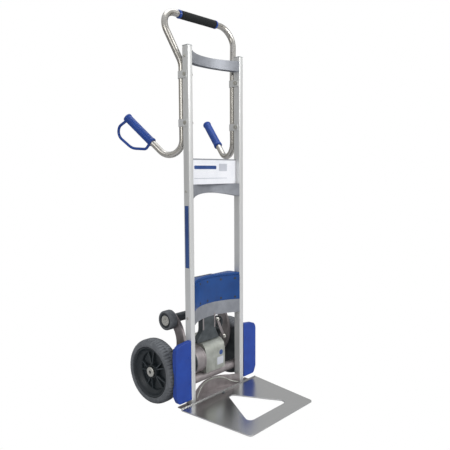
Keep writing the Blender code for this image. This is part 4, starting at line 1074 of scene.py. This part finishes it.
lid_low = case_high.z - CASE_LID
lid = add_piece("case_lid", drawn_mesh("lid", [case_plan(0)], lid_low, case_high.z, "Z"),
                case_blue, "frame", ("battery_case",), 50)
soften(lid, CASE_EDGE, 5, 50)
wall = drawn_mesh("walls", [case_plan(0), case_plan(CASE_WALL)], case_low.z, lid_low - 0.0002, "Z")
soften(add_piece("case_walls", wall, case_blue, "frame", (), 50), 0.0008, 3, 50)
CASE_SCREW_ZS = (case_low.z + 0.011, case_high.z - 0.026)
for row, height in enumerate(CASE_SCREW_ZS):
    for number, x in enumerate(CASE_SCREW_XS):
        surface_y = bow(x)
        centre_y = BOW_SAG - BOW_RADIUS
        outwards = Vector((x, surface_y - centre_y, 0)).normalized()
        place = Vector((x, surface_y, height)) - outwards * 0.0004
        add_piece(f"case_screw_{row}_{number}",
                  screw_mesh("case_screw", place, outwards, 0.0048, 0.0014), pack_grey, "frame")
refined("battery_tray", cap_grey, 0.0010, 2)
refined("control_board", board_green, 0.0003, 1)
pack_piece = refined("battery_pack", pack_grey, 0.0035, 4, 50)
pack_low, pack_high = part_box("battery_pack")
pack_middle = (pack_low.z + pack_high.z) / 2
PACK_RIBS = 5
for number in range(PACK_RIBS):
    height = pack_middle - 0.030 + number * 0.011
    rib = drawn_mesh("rib", [rounded([((-0.052, height), 0.0018), ((0.052, height), 0.0018),
                                      ((0.052, height + 0.0044), 0.0018),
                                      ((-0.052, height + 0.0044), 0.0018)])],
                     pack_high.y - 0.001, pack_high.y + 0.0012, "Y")
    soften(add_piece(f"pack_rib_{number}", rib, pack_grey, "battery"), 0.0005, 2)
latch = drawn_mesh("latch", [rounded([((-0.018, pack_high.z - 0.028), 0.004),
                                      ((0.018, pack_high.z - 0.028), 0.004),
                                      ((0.018, pack_high.z - 0.010), 0.004),
                                      ((-0.018, pack_high.z - 0.010), 0.004)])],
                   pack_high.y - 0.001, pack_high.y + 0.0018, "Y")
soften(add_piece("pack_latch", latch, blue_shell, "battery"), 0.0006, 2)
refined("power_switch", blue_shell, 0.0006, 2)
print("battery case:", round((case_high.z - case_low.z) * 1000), "mm tall")

# %% [markdown]
# ## Handle
# One polished tube rises from each rail, meets the other in a loop at the top and hooks back
# at waist height. It is drawn as a smooth sweep so its long highlights run unbroken.

# %% Handle tubes
TUBE_R = 0.0125
LEG_Y = 0.047
LEG_TOP = 1.340
LOOP = Vector((0.218, 0.106, 1.541))
HOOK_CORNER_Z = 0.921
HOOK_TURN = math.radians(19.5)
HOOK_RISE = math.radians(42.4)
GRIP_FROM = 0.181
GRIP_LENGTH = 0.156
BUTTON_DEPTH = 0.009
hook_flat = Vector((math.sin(HOOK_TURN), math.cos(HOOK_TURN), 0))
hook_way = hook_flat * math.cos(HOOK_RISE) + UNIT["Z"] * math.sin(HOOK_RISE)
hook_down = hook_flat * math.sin(HOOK_RISE) - UNIT["Z"] * math.cos(HOOK_RISE)


def sided(side, place):
    """Mirror a place on the right side to the given side."""
    return Vector((side * place[0], place[1], place[2]))


def hook_point(side, distance, drop=0.0):
    """A place on the rising grip tube, or below it in the hook's plane."""
    corner = Vector((rail_middle_x, LEG_Y, HOOK_CORNER_Z))
    return sided(side, corner + hook_way * distance + hook_down * drop)


for side in SIDES:
    label = SIDE_NAME[side]
    end = GRIP_FROM + GRIP_LENGTH - BUTTON_DEPTH - 0.006
    corners = [(hook_point(side, end), 0), (hook_point(side, 0), 0.058),
               (sided(side, (rail_middle_x, LEG_Y, LEG_TOP)), 0.080),
               (sided(side, LOOP), 0.065), (Vector((side * 0.00015, LOOP.y, LOOP.z)), 0)]
    path = rounded(corners, closed=False, steps=20)
    add_piece("handle_bar_" + label, bar_mesh("bar", path, TUBE_R, 36), tube_metal, "handle",
              ("handle_tube_" + label,))
print("handle reaches", round(LOOP.z * 1000), "mm at its middle line")

# %% [markdown]
# ## Grips
# The top bar wears soft black foam, a little fatter in the middle. The side grips are moulded in
# blue with a collar at each end and shallow finger rings. The left one carries a hand guard and
# the button that starts the motor.

# %% Top grip
foam_low, foam_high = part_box("top_grip")
FOAM_HALF = foam_high.x
FOAM_R = (foam_high.z - foam_low.z) / 2
bar_middle = Vector((0, LOOP.y, LOOP.z))
foam_profile = [(TUBE_R + 0.0003, FOAM_HALF), (FOAM_R - 0.0025, FOAM_HALF),
                (FOAM_R - 0.0008, FOAM_HALF - 0.0012), (FOAM_R, FOAM_HALF - 0.004),
                (FOAM_R, FOAM_HALF * 0.5), (FOAM_R, -FOAM_HALF * 0.5),
                (FOAM_R, -FOAM_HALF + 0.004), (FOAM_R - 0.0008, -FOAM_HALF + 0.0012),
                (FOAM_R - 0.0025, -FOAM_HALF), (TUBE_R + 0.0003, -FOAM_HALF)]
foam = add_piece("foam_sleeve", turned_mesh("foam", foam_profile, bar_middle, (1, 0, 0), 64),
                 foam_black, "handle", ("top_grip",))
for side in SIDES:
    label = SIDE_NAME[side]
    collar_low, collar_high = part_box("grip_collar_" + label)
    collar_r = (collar_high.z - collar_low.z) / 2
    near = min(abs(collar_low.x), abs(collar_high.x))
    far = max(abs(collar_low.x), abs(collar_high.x))
    collar = [(TUBE_R + 0.0003, near), (collar_r - 0.0006, near), (collar_r, near + 0.0006),
              (collar_r, far - 0.004), (collar_r - 0.002, far - 0.0006), (collar_r - 0.003, far),
              (TUBE_R + 0.0003, far)]
    add_piece("loop_collar_" + label, turned_mesh("collar", collar, bar_middle, (side, 0, 0), 56),
              grip_blue, "handle", ("grip_collar_" + label,))

# %% Side grips
GRIP_R = 0.0165
GRIP_COLLAR_R = 0.0183
GRIP_COLLAR = 0.010
GRIP_RINGS = 16
GUARD_BAR_R = 0.0055
GRIP_PEAK = GRIP_R + 0.0005
for side in SIDES:
    label = SIDE_NAME[side]
    seat = hook_point(side, GRIP_FROM)
    way = sided(side, hook_way)
    length = GRIP_LENGTH
    bore = TUBE_R + 0.0003
    pocket = BUTTON_DEPTH + 0.004
    if side < 0:
        mouth = 0.0094
        profile = [(0, length - pocket), (mouth, length - pocket), (mouth, length - 0.0006),
                   (mouth + 0.0006, length)]
    else:
        profile = [(0, length)]
    profile += [(GRIP_COLLAR_R - 0.003, length), (GRIP_COLLAR_R - 0.0008, length - 0.0008),
                (GRIP_COLLAR_R, length - 0.003), (GRIP_COLLAR_R, length - GRIP_COLLAR + 0.001),
                (GRIP_COLLAR_R - 0.0006, length - GRIP_COLLAR)]
    ringed = length - 2 * GRIP_COLLAR - 0.008
    steps = GRIP_RINGS * 6
    for step in range(steps + 1):
        share = step / steps
        wave = 0.5 + 0.5 * math.cos(2 * math.pi * share * GRIP_RINGS)
        profile.append((GRIP_PEAK - 0.0011 * wave,
                        length - GRIP_COLLAR - 0.004 - share * ringed))
    profile += [(GRIP_COLLAR_R - 0.0006, GRIP_COLLAR), (GRIP_COLLAR_R, GRIP_COLLAR - 0.001),
                (GRIP_COLLAR_R, 0.0012), (GRIP_COLLAR_R - 0.0012, 0), (bore, 0),
                (bore, length - pocket - 0.0015), (0, length - pocket - 0.0015)]
    add_piece("grip_moulding_" + label, turned_mesh("grip", profile, seat, way, 48, False),
              grip_blue, "handle", ("hand_grip_" + label,), 60)
guard_corners = [((0.007, 0.0145), 0), ((0.006, 0.038), 0.016), ((0.056, 0.078), 0.060),
                 ((0.140, 0.084), 0.038), ((0.160, 0.052), 0.024), ((0.149, 0.0145), 0)]
guard_path = rounded([(hook_point(-1, GRIP_FROM + along, drop), radius)
                      for (along, drop), radius in guard_corners], closed=False, steps=12)
add_piece("hand_guard_bar", bar_mesh("guard_bar", guard_path, GUARD_BAR_R, 28), grip_blue,
          "handle")
button_r = 0.009
button_top = GRIP_LENGTH + 0.0035
button_low = GRIP_LENGTH - BUTTON_DEPTH + 0.003 + 0.0003
button_profile = [(0, button_top), (button_r - 0.004, button_top - 0.0002),
                  (button_r - 0.0012, button_top - 0.0010), (button_r, button_top - 0.0026),
                  (button_r, button_low), (0, button_low)]
add_piece("button_dome", turned_mesh("button", button_profile, hook_point(-1, GRIP_FROM),
                                     sided(-1, hook_way), 48, False), cap_grey, "button",
          ("lift_button",))
print("side grips", round(GRIP_LENGTH * 1000), "mm long")

# %% [markdown]
# ## Handle clamps
# Each strap wraps a handle leg and its ears sit beside the rail, drawn tight by one hexagon bolt
# with a knurled knob on the inside. Loosening the knobs lets the handle slide up.

# %% Clamps
KNURLS = 18
for node in nodes:
    if node.startswith("clamp_bolt_"):
        place_name = node.removeprefix("clamp_bolt_")
        side = -1 if place_name.endswith("left") else 1
        low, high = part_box(node)
        origin = Vector((side * rail_middle_x, (low.y + high.y) / 2, (low.z + high.z) / 2))
        way = Vector((side, 0, 0))
        face = 0.0153 + 0.0003
        outer_end = max(abs(low.x), abs(high.x)) - rail_middle_x
        add_piece("hex_head_" + place_name,
                  hex_head_mesh("hex_head", origin + way * face, way, 0.0058, outer_end - face),
                  bolt_metal, "frame", (node,))
        knob_r = (high.z - low.z) / 2
        knob_end = rail_middle_x - min(abs(low.x), abs(high.x))
        outline = []
        for step in range(KNURLS * 4):
            angle = 2 * math.pi * step / (KNURLS * 4)
            reach = knob_r - (0.0006 if step % 4 in (0, 1) else 0)
            outline.append(Vector((origin.y + reach * math.cos(angle),
                                   origin.z + reach * math.sin(angle))))
        ends = sorted((side * (rail_middle_x - face), side * (rail_middle_x - knob_end)))
        knob = drawn_mesh("knob", [outline], ends[0], ends[1], "X")
        soften(add_piece("clamp_knob_" + place_name, knob, bolt_metal, "frame"), 0.0003, 2)
        shank = [(0, face), (0.003, face), (0.003, -face), (0, -face)]
        add_piece("clamp_shank_" + place_name,
                  turned_mesh("shank", shank, origin, way, 24, False), bolt_metal, "frame")
    elif node.startswith("clamp_"):
        refined(node, rail_metal, 0.0006, 3)
print("four clamps dressed")

# %% [markdown]
# ## Gear housing, motor and neck
# The housing is a silver casting around the axle, the motor a dark can on its left side and the
# neck a dark casting that hangs both from the lower cross-member. Castings show raised ribs,
# a split line and cap screws around it; the ribs and the split line are drawn here, the screws are
# not.

# %% Drive unit
for label in ("left", "right"):
    refined("gear_housing_" + label, drum_metal, 0.0035, 4, 50, 50)
housing_low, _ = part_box("gear_housing_left")
_, housing_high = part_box("gear_housing_right")
motor_low, motor_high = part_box("motor_can")
motor_centre = Vector((0, (motor_low.y + motor_high.y) / 2, (motor_low.z + motor_high.z) / 2))
motor_r = (motor_high.z - motor_low.z) / 2
split = [(0.0732, -0.0022), (0.0744, -0.0018), (0.0744, 0.0018), (0.0732, 0.0022)]
drum_band = turned_mesh("split_flange", split, (0.0, AXLE_Y, AXLE_Z), (1, 0, 0), 96)
add_piece("housing_split_flange", drum_band, drum_metal, "frame")
can_near = max(abs(motor_low.x), abs(motor_high.x))
can_far = min(abs(motor_low.x), abs(motor_high.x))
can = [(motor_r - 0.006, can_far + 0.006), (0.0072, can_far + 0.006), (0.0072, can_far),
       (motor_r - 0.001, can_far), (motor_r, can_far + 0.001), (motor_r, can_far + 0.008),
       (motor_r - 0.0016, can_far + 0.0094), (motor_r - 0.0016, can_near - 0.0094),
       (motor_r, can_near - 0.008), (motor_r, can_near - 0.0006), (motor_r - 0.0006, can_near),
       (motor_r - 0.006, can_near)]
add_piece("motor_can_turned", turned_mesh("can", can, motor_centre, (-1, 0, 0), 96), arm_metal,
          "frame", ("motor_can",))
end_low, end_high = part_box("motor_end_cap")
end_near = min(abs(end_low.x), abs(end_high.x))
end_far = max(abs(end_low.x), abs(end_high.x))
end_cap = [(0, end_near), (motor_r - 0.0006, end_near), (motor_r, end_near + 0.0006),
           (motor_r, end_near + 0.0010), (motor_r - 0.0012, end_far - 0.0022),
           (motor_r - 0.004, end_far - 0.0008), (motor_r - 0.010, end_far),
           (0.022, end_far), (0.0205, end_far - 0.0016), (0, end_far - 0.0016)]
add_piece("motor_end_turned", turned_mesh("end", end_cap, motor_centre, (-1, 0, 0), 96, False),
          dark_metal, "frame", ("motor_end_cap",))
print("drive unit from", round(-can_near * 1000), "to", round(housing_high.x * 1000), "mm")

# %% Neck
neck_low, neck_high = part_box("gearbox_neck")
refined("gearbox_neck", dark_metal, 0.0024, 3, 40, 50)
# The ribs are real raised ribs, but they are made in the lighter warm cast metal instead of the
# neck's dark paint: that lighter colour is a painted highlight for the light caught along the neck's
# edges.
for number, x in enumerate((-0.044, 0.024)):
    rib = drawn_mesh("rib", [rounded([((x - 0.0032, neck_low.z + 0.050), 0.001),
                                      ((x + 0.0032, neck_low.z + 0.050), 0.001),
                                      ((x + 0.0032, 0.335), 0.001),
                                      ((x - 0.0032, 0.335), 0.001)])],
                     neck_low.y - 0.0016, neck_low.y + 0.004, "Y")
    soften(add_piece(f"neck_rib_highlight_{number}", rib, arm_metal, "frame"), 0.0012, 3)
print("neck dressed;", len(made_pieces), "pieces so far")

# %% [markdown]
# ## Lift linkage and housing label
# Beside the neck a flat link with a bright pivot leans up to a ring-shaped casting. The housing
# carries a small pale label and a round blue spot, both without any words.

# %% Link, ring and label
LINK_LOW = Vector((0.098, 0.062, 0.216))
LINK_HIGH = Vector((0.056, 0.062, 0.300))
LINK_HALF = 0.0065
LINK_THICK = 0.006
link_way = (LINK_HIGH - LINK_LOW).normalized()
link_length = (LINK_HIGH - LINK_LOW).length
link_place = (Matrix.Translation(LINK_LOW)
              @ link_way.to_track_quat("X", "Z").to_matrix().to_4x4())
outline = arc_points((0, 0), LINK_HALF, math.pi / 2, math.pi, 12)
outline += arc_points((link_length, 0), LINK_HALF, -math.pi / 2, math.pi, 12)
link = drawn_mesh("link", [outline], -LINK_THICK / 2, LINK_THICK / 2, "Z",
                  link_place @ Matrix.Rotation(math.pi / 2, 4, "X"))
soften(add_piece("lift_link", link, arm_metal, "frame"), 0.0012, 3)
for number, place in enumerate((LINK_LOW, LINK_HIGH)):
    knob = [(0, 0.010), (0.0052, 0.010), (0.0068, 0.0088), (0.0068, 0.004), (0.0082, 0.003),
            (0.0082, 0), (0, 0)]
    add_piece(f"link_pivot_{number}",
              turned_mesh("pivot", knob, place - UNIT["Y"] * LINK_THICK / 2, (0, -1, 0), 40,
                          False), bolt_metal, "frame")
ring_profile = [(0.030, -0.008), (0.030, 0.006), (0.028, 0.008), (0.021, 0.008),
                (0.019, 0.006), (0.019, -0.008)]
add_piece("pivot_ring", turned_mesh("ring", ring_profile, (0.086, 0.088, 0.272), (0, -1, 0), 64),
          dark_metal, "frame")
web_outline = rounded([((0.028, 0.255), 0.004), ((0.070, 0.248), 0.004), ((0.070, 0.296), 0.004),
                       ((0.028, 0.318), 0.004)])
web = drawn_mesh("web", [web_outline], 0.082, 0.092, "Y")
soften(add_piece("pivot_web", web, dark_metal, "frame"), 0.0016, 3)
face = housing_low.y
film("housing_label", (0.012, face - PRINT_THICK, 0.118),
     (0.050, face + PRINT_THICK, 0.150), label_grey, round_by=0.003)
spot = [(0, 0.0003), (0.0105, 0.0003), (0.0105, -0.0003), (0, -0.0003)]
add_piece("housing_spot",
          turned_mesh("spot", spot, (0.036, face, 0.168), (0, -1, 0), 40, False), label_blue,
          "frame")
print("dressed the drive unit;", len(made_pieces), "pieces in all")
